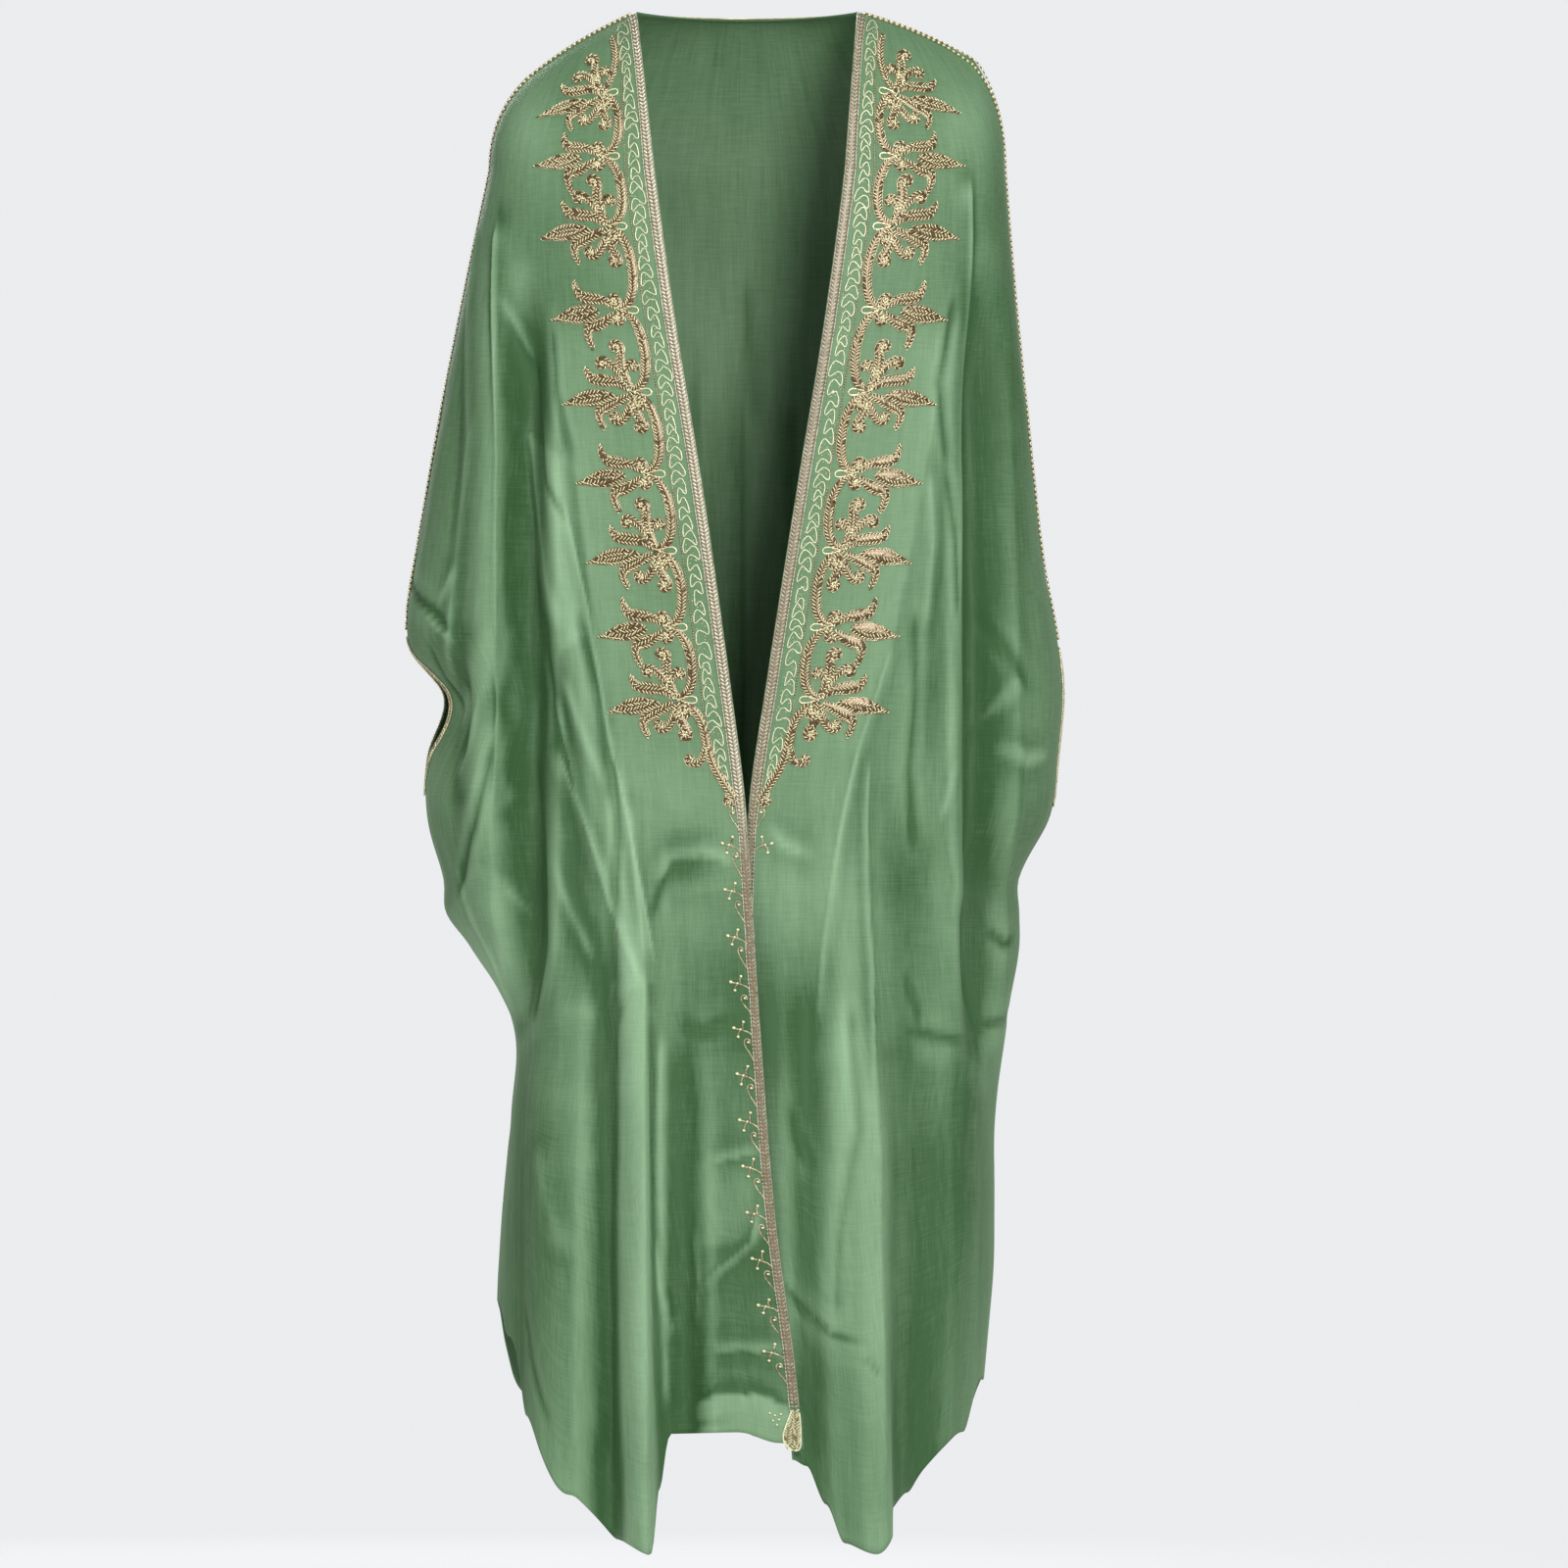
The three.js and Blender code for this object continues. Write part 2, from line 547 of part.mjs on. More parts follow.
// More stops along a way, none further apart than a step
function inSteps(way) {
  return way.flatMap((stop, k) => {
    if (k === 0) return [stop];
    const last = way[k - 1];
    const count = Math.ceil(Math.hypot(stop[0] - last[0], stop[1] - last[1]) / SCROLL_STEP);
    return even(0, 1, count).slice(1).map((t) => stop.map((value, i) => mix(last[i], value, t)));
  });
}

// One stroke of the scroll: a ridge along a way of [distance from the edge, height, width], as a solid
function strokeSolid(side, sparse, height) {
  const way = inSteps(sparse);
  const rings = way.map(([d, z, width], k) => {
    const [d0, z0] = way[Math.max(k - 1, 0)];
    const [d1, z1] = way[Math.min(k + 1, way.length - 1)];
    const length = Math.hypot(d1 - d0, z1 - z0);
    const across = [(-(z1 - z0) / length) * (width / 2), ((d1 - d0) / length) * (width / 2)];
    return [1, 0, -1].map((sign) => {
      const row = rowAt(Math.min(z + sign * across[1], SCROLL_TOP));
      return onPanel(fronts[side], shareAt(side, d + sign * across[0], row), row, sign ? SCROLL_SEAT : SCROLL_SEAT + height);
    });
  });
  const geometry = mergeVertices(ridge(rings, -side), 1e-4);
  return new wasm.Manifold(
    new wasm.Mesh({
      numProp: 3,
      vertProperties: geometry.attributes.position.array,
      triVerts: new Uint32Array(geometry.index.array),
    }),
  );
}

function vineWay(from, to, narrow) {
  return even(0, 1, 4).map((t) => {
    const z = mix(from, to, t);
    return [VINE.d - VINE.bulge * Math.sin(Math.PI * t), z, VINE.width * (narrow ? mix(1, 0.6, t) : 1)];
  });
}

function scrollGeometry(side) {
  const solids = [];
  MOTIFS.forEach(({ z, kind }, k) => {
    for (const { way, height } of STROKES[kind]) {
      const placed = way.map(([out, up, width]) => [VINE.d + out, z + up, width]);
      solids.push(strokeSolid(side, placed, height));
    }
    const next = MOTIFS[k + 1];
    if (next) solids.push(strokeSolid(side, vineWay(z + 4, next.z - 4, false), VINE.height));
  });
  // The vine starts at the shoulder seam, and below the last motif it curls in towards the front's edge
  solids.push(strokeSolid(side, [[34, -14, 4], [33, -24, 5], [33, -36, 6], [36, -54, 7], [VINE.d, -74, 6]], 1.6));
  const last = MOTIFS.at(-1).z;
  const tail = [[VINE.d, last + 2, 6], [35, last - 18, 7], [31, last - 42, 6], [41, last - 62, 5], [50, last - 50, 8]];
  solids.push(strokeSolid(side, tail, 1.6));
  const stem = [[31, last - 38, 4], [27, last - 70, 4], [19, last - 96, 7], [15, last - 102, 3]];
  solids.push(strokeSolid(side, stem, 1.4));
  const joined = wasm.Manifold.union(solids).simplify(SCROLL_FINE);
  const mesh = joined.getMesh();
  const geometry = new THREE.BufferGeometry();
  geometry.setAttribute("position", new THREE.BufferAttribute(mesh.vertProperties, 3));
  geometry.setIndex(new THREE.BufferAttribute(mesh.triVerts, 1));
  return geometry;
}

// The cord along the shoulder seam and down the arm, beside the seam on the front, as far as the hand opening
function shoulderCord(side) {
  const along = even(CORD.start, 0.94, 7).map((u) => [[u, CORD.row[0]], [u, CORD.row[1]]]);
  const turn = [[[CORD.share[0], 0.03], [CORD.share[1] - 0.02, 0.05]]];
  const end = rowOf(HAND[side].top) - 0.02;
  const downArm = [...ROWS.filter((row) => row > 0.1 && row < end), end].map((row) => CORD.share.map((u) => [u, row]));
  const ways = [...along, ...turn, ...downArm];
  return strip(fronts[side], ways.map((w) => w[0]), ways.map((w) => w[1]), CORD.height, side, CORD.seat);
}

// Braid along one lip of a hand opening
function cuffBraid(side, panel, shares) {
  const top = rowOf(HAND[side].top + CUFF.ends);
  const bottom = rowOf(HAND[side].bottom - CUFF.ends);
  const stops = [top, ...ROWS.filter((row) => row > top && row < bottom), bottom];
  const rows = stops.flatMap((row, k) => (k ? even(stops[k - 1], row, CUFF.steps).slice(1) : [row]));
  return strip(panel, rows.map((row) => [shares[0], row]), rows.map((row) => [shares[1], row]), CUFF.height, -side, CUFF.seat);
}

const even = (from, to, count) => Array.from({ length: count + 1 }, (_, i) => mix(from, to, i / count));
const LEVELS = [-150, -215, -280, -345, -410, -470, -525, -565, -600, -645, -680, -714, -757, -796, -830, -862, -905, -952];
const ROWS = [0, 0.17, 0.36, 0.57, 0.78, ...LEVELS.map(rowOf), ...even(2, 3, 7)];
const FRONT_COLUMNS = [...even(0, BODY_SHARE, 14), ...even(BODY_SHARE, 1, 10).slice(1)];
const HALF_BACK = [...even(0, NECK_SHARE, 7), ...even(NECK_SHARE, BODY_SHARE, 2).slice(1), ...even(BODY_SHARE, 1, 7).slice(1)];
const BACK_COLUMNS = [...HALF_BACK.slice(1).map((u) => -u).reverse(), ...HALF_BACK];

const material = (color, roughness, metalness) => new THREE.MeshStandardMaterial({ color, roughness, metalness });
const clothMaterial = material(COLOUR.cloth, 0.62, 0);
const goldMaterial = material(COLOUR.gold, 0.42, 0.7);

const robe = new THREE.Group();
robe.name = "bisht";

function add(name, geometry, finish) {
  const mesh = new THREE.Mesh(geometry, finish);
  mesh.name = name;
  robe.add(mesh);
}

const fronts = {};
for (const side of [RIGHT, LEFT]) {
  const shoulderAt = (u) => ({ side, along: u });
  fronts[side] = makePanel(frontSurface(side), shoulderAt, FRONT_COLUMNS, ROWS, -side);
}
const backShoulderAt = (share) => ({
  side: share < 0 ? RIGHT : LEFT,
  along: Math.max(0, (Math.abs(share) - NECK_SHARE) / (1 - NECK_SHARE)),
});
const back = makePanel(backSurface, backShoulderAt, BACK_COLUMNS, ROWS, 1);

// The two edges of a side seam face the same way
for (const side of [RIGHT, LEFT]) {
  const { top, bottom } = HAND[side];
  ROWS.forEach((row, j) => {
    const z = levelOf(row);
    if (row > 1 && z < top && z > bottom) return;
    const a = fronts[side].normals[(j + 1) * FRONT_COLUMNS.length - 1];
    const b = back.normals[side === RIGHT ? j * BACK_COLUMNS.length : (j + 1) * BACK_COLUMNS.length - 1];
    a.add(b).normalize();
    b.copy(a);
  });
  add("front_" + sideName(side), clothWall(fronts[side]), clothMaterial);
}
add("back", clothWall(back), clothMaterial);

const braidRows = [0.01, ...ROWS.slice(1, -1), 2.992];
for (const side of [RIGHT, LEFT]) {
  const name = sideName(side);
  const edgeAt = (d) => braidRows.map((row) => [shareAt(side, d, row), row]);
  add("edge_braid_" + name, strip(fronts[side], edgeAt(BRAID.from), edgeAt(BRAID.to), BRAID.height, -side), goldMaterial);
  add("scroll_" + name, scrollGeometry(side), goldMaterial);
  add("shoulder_cord_" + name, shoulderCord(side), goldMaterial);
  const reach = sideDistance(side, HAND[side].top) * (1 / (1 - BODY_SHARE));
  const frontLip = [1 - CUFF.to / 400, 1 - CUFF.from / 400];
  add(`cuff_braid_${name}_front`, cuffBraid(side, fronts[side], frontLip), goldMaterial);
  const backLip = [side * (1 - CUFF.from / 400), side * (1 - CUFF.to / 400)];
  add(`cuff_braid_${name}_back`, cuffBraid(side, back, backLip), goldMaterial);
}
const neckColumns = BACK_COLUMNS.filter((u) => Math.abs(u) < NECK_SHARE + 0.001).map((u) => u * 0.99);
const neckEdge = (row) => neckColumns.map((u) => [u, row]);
add("neck_braid", strip(back, neckEdge(NECK_BRAID.from), neckEdge(NECK_BRAID.to), BRAID.height, -1), goldMaterial);

export default robe;
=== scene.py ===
"""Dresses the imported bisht: thin draped cloth, gold thread work and a plain studio.

The tables of sizes are in millimetres, as the part's own solids are, and become metres where points are made. The
wearer faces -Y, so the wearer's right is at -X, and the origin is between the shoulder seams at the neck.
"""

import logging
import math
from collections import defaultdict
from dataclasses import dataclass, field
from enum import Enum
from typing import Callable

import bmesh
import bpy
import numpy as np
from mathutils import Matrix, Vector, noise

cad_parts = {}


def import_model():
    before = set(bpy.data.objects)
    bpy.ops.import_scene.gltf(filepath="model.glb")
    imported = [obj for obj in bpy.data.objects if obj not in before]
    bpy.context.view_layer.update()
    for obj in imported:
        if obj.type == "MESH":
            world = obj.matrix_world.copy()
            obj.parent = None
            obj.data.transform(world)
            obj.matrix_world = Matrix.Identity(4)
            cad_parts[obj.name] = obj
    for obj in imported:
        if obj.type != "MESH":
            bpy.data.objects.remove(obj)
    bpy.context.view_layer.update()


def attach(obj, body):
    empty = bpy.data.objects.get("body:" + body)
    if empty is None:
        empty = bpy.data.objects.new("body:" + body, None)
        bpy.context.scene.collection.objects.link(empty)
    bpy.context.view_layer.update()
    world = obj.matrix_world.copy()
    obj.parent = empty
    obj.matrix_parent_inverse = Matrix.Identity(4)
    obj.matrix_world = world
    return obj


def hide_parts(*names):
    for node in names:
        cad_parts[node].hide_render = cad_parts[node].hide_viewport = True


LOG = logging.getLogger("bisht")
MM = 0.001
TAU = 2 * math.pi
Reals = np.ndarray | float  # one number, or an array of them

YOKE = -150.0  # height at which the cloth has come down off the shoulders
LOWEST = -1464.0
LEVEL_END = -1000.0  # below this the rows of cloth slope towards the hem
HEM_READ = -1300.0  # height at which the hem's widths are read off the cloth
ROUND = 0.8  # power of the section's sine and cosine
NECK_HALF = 104.0
NECK_BACK = 62.0
NECK_DROP = 6.0
NECK_SHARE = 0.44
SHOULDER_BOW = 5.0
TIP_FALL = 0.6
BODY_SHARE = 0.54  # share of a panel's way across that lies over the body, with the rest over the arm
BODY_WIDEST = 0.93  # the most of the section's reach that the body takes
LAP_LIFT = 7.0  # how far the right front stands off the left one
LAP_STARTS, LAP_WHOLE = 660.0, 800.0  # how far down it begins and is whole
LAP_FROM, LAP_TO = 55.0, 120.0  # the distances from the free edge over which it ends
CLOTH = 0.9  # thickness of the thin cloth
SEAM_GAP = 0.02  # each panel stops this far from a seam's line
WRINKLE = 2.6  # the most that the soft unevenness moves the cloth
WRINKLE_WAY = np.array([1.0, 1.6, 0.0])
WRINKLE_DOWN = (160.0, 460.0)  # how far down it begins and is whole
WORKED_ACROSS = (0.30, 0.42)  # where the strip that thread work keeps smooth ends
WORKED_DOWN = (-860.0, -700.0)
WORKED_SMOOTH = 0.75
WRINKLE_WAVES = ((46, 210, 0, 0.65), (19, 60, 9, 0.35))  # width, height, shift and share of each wave
FOLD_FADE = 150.0  # height that a fold takes to come up and to die away
CREASE_FADE = 30.0  # the most length that a crease takes to do so
CREASE_ENDS = 2.6  # how many times that length a short crease has
CREASE_POWER = 1.6
SHEER = 4.5  # how many times steeper the sheer side of a stepped crease is
INSIDE = 1.001  # keeps a place among a table's rows off the last one


class Side(Enum):
    """A side of the wearer, valued as the sign of its X."""

    RIGHT = -1
    LEFT = 1

    @property
    def word(self) -> str:
        """The side's name in the CAD nodes."""
        return self.name.lower()


class Face(Enum):
    """The front or the back half of the robe."""

    FRONT = "front"
    BACK = "back"


@dataclass(frozen=True)
class Fold:
    """A fold that runs over the cloth, in millimetres as seen from its own face.

    The start and end are (x, z). half is the half width, out how far it stands out at each end (in, below 0), lean
    how far its crest moves sideways, and sharp the power of its crest.
    """

    face: Face
    side: Side
    start: tuple[float, float]
    end: tuple[float, float]
    half: float
    out: tuple[float, float]
    lean: float = 0.0
    sharp: float = 1.0

    def share(self, z: Reals) -> Reals:
        """How much of the way from its start to its end a height is."""
        return np.clip((z - self.start[1]) / (self.end[1] - self.start[1]), 0, 1)


@dataclass(frozen=True)
class Crease:
    """A fine crease that runs any way over the cloth, along (x, z) points as seen from its own face.

    half is its half width and out its height. step drops the cloth sharply to one side of the line: to the left of
    the way it runs in (distance, height) above 0, and to the right below 0.
    """

    face: Face
    side: Side
    line: tuple[tuple[float, float], ...]
    half: float
    out: float
    step: int = 0


F, B = Face.FRONT, Face.BACK
R, L = Side.RIGHT, Side.LEFT

# Sections going down: height, then the reach to the right, to the left, to the front and to the back
SECTIONS = np.array(
    [
        (-150, 242, 243, 104, 98),
        (-250, 263, 251, 119, 112),
        (-400, 292, 266, 131, 118),
        (-525, 313, 281, 140, 120),
        (-565, 320, 288, 142, 120),
        (-600, 318, 294, 144, 121),
        (-645, 286, 299, 146, 122),
        (-706, 301, 293, 149, 124),
        (-757, 302, 286, 151, 127),
        (-820, 286, 257, 154, 130),
        (-850, 284, 258, 155, 132),
        (-880, 263, 258, 157, 134),
        (-956, 221, 245, 160, 139),
        (-1040, 223, 234, 164, 146),
        (-1180, 234, 233, 169, 156),
        (-1300, 237, 222, 172, 162),
        (-1460, 237, 206, 174, 166),
    ],
    dtype=float,
)
SECTION_COLUMN = {R: 1, L: 2, F: 3, B: 4}

# The free edges of the fronts: height, then the x of the right one and of the left one
EDGES = np.array(
    [
        (0, -104, 104),
        (-130, -89, 94),
        (-285, -68, 74),
        (-451, -41, 47),
        (-636, -15, 18),
        (-746, -1, 2),
        (-868, 7, -3),
        (-960, 13, 3),
        (-1145, 28, 18),
        (-1265, 44, 34),
        (-1460, 64, 52),
    ],
    dtype=float,
)

# The shoulders' tips, and the x at which each panel goes over from the body to the arm
SHOULDER_TIP = {R: (-204.0, 0.0, -61.0), L: (214.0, -8.0, -46.0)}
ARM_LINE = {(R, F): 210.0, (R, B): 212.0, (L, F): 224.0, (L, B): 210.0}
# The hand openings: the heights of their top and bottom, and how far the front lip and the back one stand open
HAND = {R: (-588.0, -742.0, 46.0, 9.0), L: (-598.0, -752.0, 9.0, 42.0)}

# The hem, as (distance to its own side from the middle, height) from each front's free edge to the side
HEM = {
    R: [(-56, -1353), (-26, -1346), (11, -1336), (74, -1338), (88, -1388), (102, -1450), (128, -1437), (159, -1395),
        (201, -1322), (224, -1248), (237, -1216)],
    L: [(38, -1362), (52, -1368), (68, -1404), (82, -1440), (104, -1450), (124, -1434), (133, -1407), (157, -1394),
        (206, -1338), (218, -1290)],
}
HEM_BACK_CENTRE, HEM_BACK_DIP, HEM_BACK_DIPS = -1322.0, 14.0, 5.0

# The folds that the solids have too
MAIN_FOLDS = [
    Fold(F, R, (-204, -290), (-142, -780), 24, (5, 7)),
    Fold(F, R, (-184, -560), (-150, -1000), 28, (-6, -8)),
    Fold(F, R, (-210, -240), (-210, -980), 36, (-30, -38)),
    Fold(F, R, (-244, -190), (-252, -880), 32, (10, 14), lean=-8),
    Fold(F, R, (-182, -880), (-172, -1460), 62, (8, 26)),
    Fold(F, R, (-139, -800), (-131, -1460), 24, (-9, -14), sharp=1.2),
    Fold(F, R, (-114, -800), (-101, -1460), 30, (8, 38), lean=-14, sharp=1.1),
    Fold(F, R, (-60, -900), (-56, -1460), 28, (-10, -18)),
    Fold(F, L, (60, -820), (66, -1460), 32, (-9, -14)),
    Fold(F, L, (92, -700), (88, -1400), 44, (10, 12)),
    Fold(F, L, (113, -920), (116, -1460), 34, (10, 30), lean=4, sharp=1.4),
    Fold(F, L, (152, -700), (170, -1460), 40, (-12, -12)),
    Fold(F, L, (206, -290), (168, -780), 26, (-6, -8)),
    Fold(F, L, (224, -220), (224, -1020), 38, (-30, -34)),
    Fold(B, R, (-212, -230), (-212, -1000), 44, (-34, -34)),
    Fold(B, R, (-170, -330), (-166, -1400), 44, (8, 28), lean=6, sharp=1.1),
    Fold(B, R, (-118, -360), (-122, -1400), 38, (-9, -24)),
    Fold(B, R, (-70, -300), (-76, -1400), 42, (7, 28), sharp=1.1),
    Fold(B, R, (-26, -430), (-30, -1400), 32, (-7, -20)),
    Fold(B, L, (16, -300), (20, -1400), 38, (6, 22), sharp=1.1),
    Fold(B, L, (66, -390), (72, -1400), 38, (-9, -26)),
    Fold(B, L, (118, -300), (126, -1400), 44, (8, 28), lean=6, sharp=1.1),
    Fold(B, L, (164, -420), (170, -1400), 34, (-8, -22)),
    Fold(B, L, (210, -220), (210, -1000), 42, (-30, -32)),
]
HEM_REACH = -1390.0  # a fold that ends below this runs out through the hem


def mix(a: Reals, b: Reals, t: Reals) -> Reals:
    """Goes from a to b as t goes from 0 to 1."""
    return a + (b - a) * t


def ease(x: Reals, start: Reals, end: Reals) -> Reals:
    """A smooth step from 0 at start to 1 at end."""
    t = np.clip((np.asarray(x, float) - start) / (end - start), 0, 1)
    return t * t * (3 - 2 * t)


def signed(x: Reals, power: float) -> Reals:
    """A power that keeps the sign."""
    return np.sign(x) * np.abs(x) ** power


def unit(vectors: np.ndarray) -> np.ndarray:
    """The same directions, each 1 long."""
    return vectors / np.maximum(np.linalg.norm(vectors, axis=-1, keepdims=True), 1e-9)


def columns(*values: Reals) -> np.ndarray:
    """Rows of a line from its columns, of which some may be single numbers."""
    return np.stack(np.broadcast_arrays(*values), axis=-1).astype(float)


def add_object(name: str, data: bpy.types.ID) -> bpy.types.Object:
    """Puts a new object in the scene.

    Args:
        name: its name.
        data: its mesh, light or camera.

    Returns:
        The object.
    """
    made = bpy.data.objects.new(name, data)
    bpy.context.scene.collection.objects.link(made)
    return made


def down(table: np.ndarray, column: int, z: Reals) -> np.ndarray:
    """A smooth curve through one column of a table whose heights go down.

    Args:
        table: rows of a height and its values.
        column: the column of values.
        z: heights to read at.

    Returns:
        The values at those heights.
    """
    z = np.asarray(z, float)
    heights, values = table[:, 0], table[:, column]
    slopes = np.diff(values) / np.diff(heights)
    at = np.clip(np.searchsorted(-heights, -z, side="right") - 1, 0, len(heights) - 2)
    here = slopes[at]
    before = np.where(at > 0, (slopes[np.maximum(at - 1, 0)] + here) / 2, here)
    after = np.where(at < len(slopes) - 1, (slopes[np.minimum(at + 1, len(slopes) - 1)] + here) / 2, here)
    span = heights[at + 1] - heights[at]
    t = np.clip((z - heights[at]) / span, 0, 1)
    rise = t * t * (3 - 2 * t)
    return mix(values[at], values[at + 1], rise) + span * t * (1 - t) * ((1 - t) * before - t * after)


class RobeForm:
    """The worn robe's surface: its sections, its folds and the places of its seams.

    A place is a side, a distance round from that side's free front edge, and a height, all in millimetres.
    """

    STEPS = 260
    SHARES = 420
    LEVEL = 4.0

    def __init__(self, folds: list[Fold], creases: list[Crease]) -> None:
        """Works out the tables that turn distances into angles.

        Args:
            folds: the large folds.
            creases: the fine creases.
        """
        self.folds = folds
        self.levels = np.arange(YOKE, LOWEST - self.LEVEL, -self.LEVEL)
        self.angles: dict[Side, np.ndarray] = {}
        self.marks: dict[tuple, np.ndarray] = {}
        for side in Side:
            self._measure(side)
        self.creases = [
            (crease, np.array([self.flat_place(crease, x, z) for x, z in crease.line])) for crease in creases
        ]

    def flat_place(self, crease: Crease, x: float, z: float) -> tuple[float, float]:
        """The distance of a crease's point from the free edge, or on the back from the middle, and its height.

        The distance is below 0 past the free edge.

        Args:
            crease: the crease.
            x: the point's x.
            z: the point's height.

        Returns:
            The distance and the height.
        """
        side = crease.side
        edge = float(self.edge_x(side, z))
        if crease.face is F and side.value * (x - edge) < 0:
            return -abs(x - edge), z
        level = int(self._level(z))
        angle = float(self.angle_at(side, x, z, crease.face))
        share = np.interp(angle, self.angles[side][level], np.linspace(0, 1, self.SHARES + 1))
        return float((share if crease.face is F else 1 - share) * self.marks[side, "all"][level]), z

    def half_width(self, side: Side, z: Reals) -> Reals:
        """The section's reach to one side."""
        return down(SECTIONS, SECTION_COLUMN[side], z)

    def edge_x(self, side: Side, z: Reals) -> Reals:
        """The x of a front's free edge."""
        return down(EDGES, 1 if side is R else 2, z)

    def outline(self, side: Side, angle: Reals, z: Reals) -> tuple[Reals, Reals]:
        """The section's x and y at an angle from the middle of the front.

        Args:
            side: the side.
            angle: the angles.
            z: heights.

        Returns:
            The x and the y.
        """
        sine, cosine = np.sin(angle), np.cos(angle)
        reach = np.where(cosine > 0, down(SECTIONS, SECTION_COLUMN[F], z), down(SECTIONS, SECTION_COLUMN[B], z))
        return side.value * self.half_width(side, z) * signed(sine, ROUND), -reach * signed(cosine, ROUND)

    def angle_at(self, side: Side, x: Reals, z: Reals, face: Face) -> Reals:
        """The angle at which the section has that x.

        Args:
            side: the side.
            x: the x to reach.
            z: heights.
            face: the front half or the back one.

        Returns:
            The angles.
        """
        share = np.clip(side.value * np.asarray(x, float) / self.half_width(side, z), -1, 1)
        angle = np.arcsin(signed(share, 1 / ROUND))
        return angle if face is F else math.pi - angle

    def _measure(self, side: Side) -> None:
        """Fills one side's tables of distances round each level.

        Args:
            side: the side.
        """
        angles = []
        marks: dict[tuple, list[float]] = defaultdict(list)
        for z in self.levels:
            start = float(self.angle_at(side, self.edge_x(side, z), z, F))
            ring = np.linspace(start, math.pi, self.STEPS + 1)
            x, y = self.outline(side, ring, np.full_like(ring, z))
            along = np.concatenate([[0], np.cumsum(np.hypot(np.diff(x), np.diff(y)))])
            marks[side, "all"].append(along[-1])
            angles.append(np.interp(np.linspace(0, along[-1], self.SHARES + 1), along, ring))
            marks[side, "side"].append(np.interp(math.pi / 2, ring, along))
            for face in Face:
                x_line = side.value * min(ARM_LINE[side, face], BODY_WIDEST * float(self.half_width(side, z)))
                angle = float(self.angle_at(side, x_line, z, face))
                marks[side, face].append(np.interp(angle, ring, along))
            for k, fold in enumerate(self.folds):
                if fold.side is side:
                    x_fold = mix(fold.start[0], fold.end[0], fold.share(z))
                    angle = float(self.angle_at(side, x_fold, z, fold.face))
                    marks["fold", k].append(np.interp(angle, ring, along))
        self.angles[side] = np.array(angles)
        self.marks.update({key: np.array(values) for key, values in marks.items()})

    def _level(self, z: Reals) -> Reals:
        """The place of a height among the levels."""
        return np.clip((YOKE - np.asarray(z, float)) / self.LEVEL, 0, len(self.levels) - INSIDE)

    def mark(self, key: tuple, z: Reals) -> Reals:
        """A landmark's distance at a height."""
        return np.interp(self._level(z), np.arange(len(self.levels)), self.marks[key])

    def angle(self, side: Side, distance: np.ndarray, z: np.ndarray) -> np.ndarray:
        """The section's angle at a distance round from the front's edge.

        Args:
            side: the side that the places are on.
            distance: distances round from the free front edge.
            z: heights.

        Returns:
            The angles.
        """
        level = self._level(z)
        low = level.astype(int)
        part = level - low
        around = self.marks[side, "all"]
        total = mix(around[low], around[low + 1], part)
        share = np.clip(distance / total, 0, 1) * self.SHARES
        left = np.minimum(share.astype(int), self.SHARES - 1)
        across = share - left
        table = self.angles[side]
        upper = mix(table[low, left], table[low, left + 1], across)
        lower = mix(table[low + 1, left], table[low + 1, left + 1], across)
        return mix(upper, lower, part)

    def _push(self, side: Side, distance: np.ndarray, z: np.ndarray) -> tuple[np.ndarray, np.ndarray]:
        """How far the folds push a place out, and sideways.

        Args:
            side: the side that the places are on.
            distance: distances round from the free front edge.
            z: heights.

        Returns:
            How far out, and how far sideways.
        """
        out, along = np.zeros_like(distance), np.zeros_like(distance)
        for k, fold in enumerate(self.folds):
            if fold.side is not side:
                continue
            off = np.clip((distance - self.mark(("fold", k), z)) / fold.half, -1, 1)
            crest = (0.5 + 0.5 * np.cos(math.pi * off)) ** fold.sharp * ease(fold.start[1] - z, 0, FOLD_FADE)
            if fold.end[1] >= HEM_REACH:
                crest = crest * ease(z - fold.end[1], 0, FOLD_FADE)
            out += mix(*fold.out, fold.share(z)) * crest
            along += fold.lean * crest
        from_back = self.mark((side, "all"), z) - distance
        for crease, line in self.creases:
            if crease.side is side:
                out += self._crease(crease, line, distance if crease.face is F else from_back, z)
        if side is R:
            out += LAP_LIFT * ease(-z, LAP_STARTS, LAP_WHOLE) * (1 - ease(distance, LAP_FROM, LAP_TO))
        return out, along

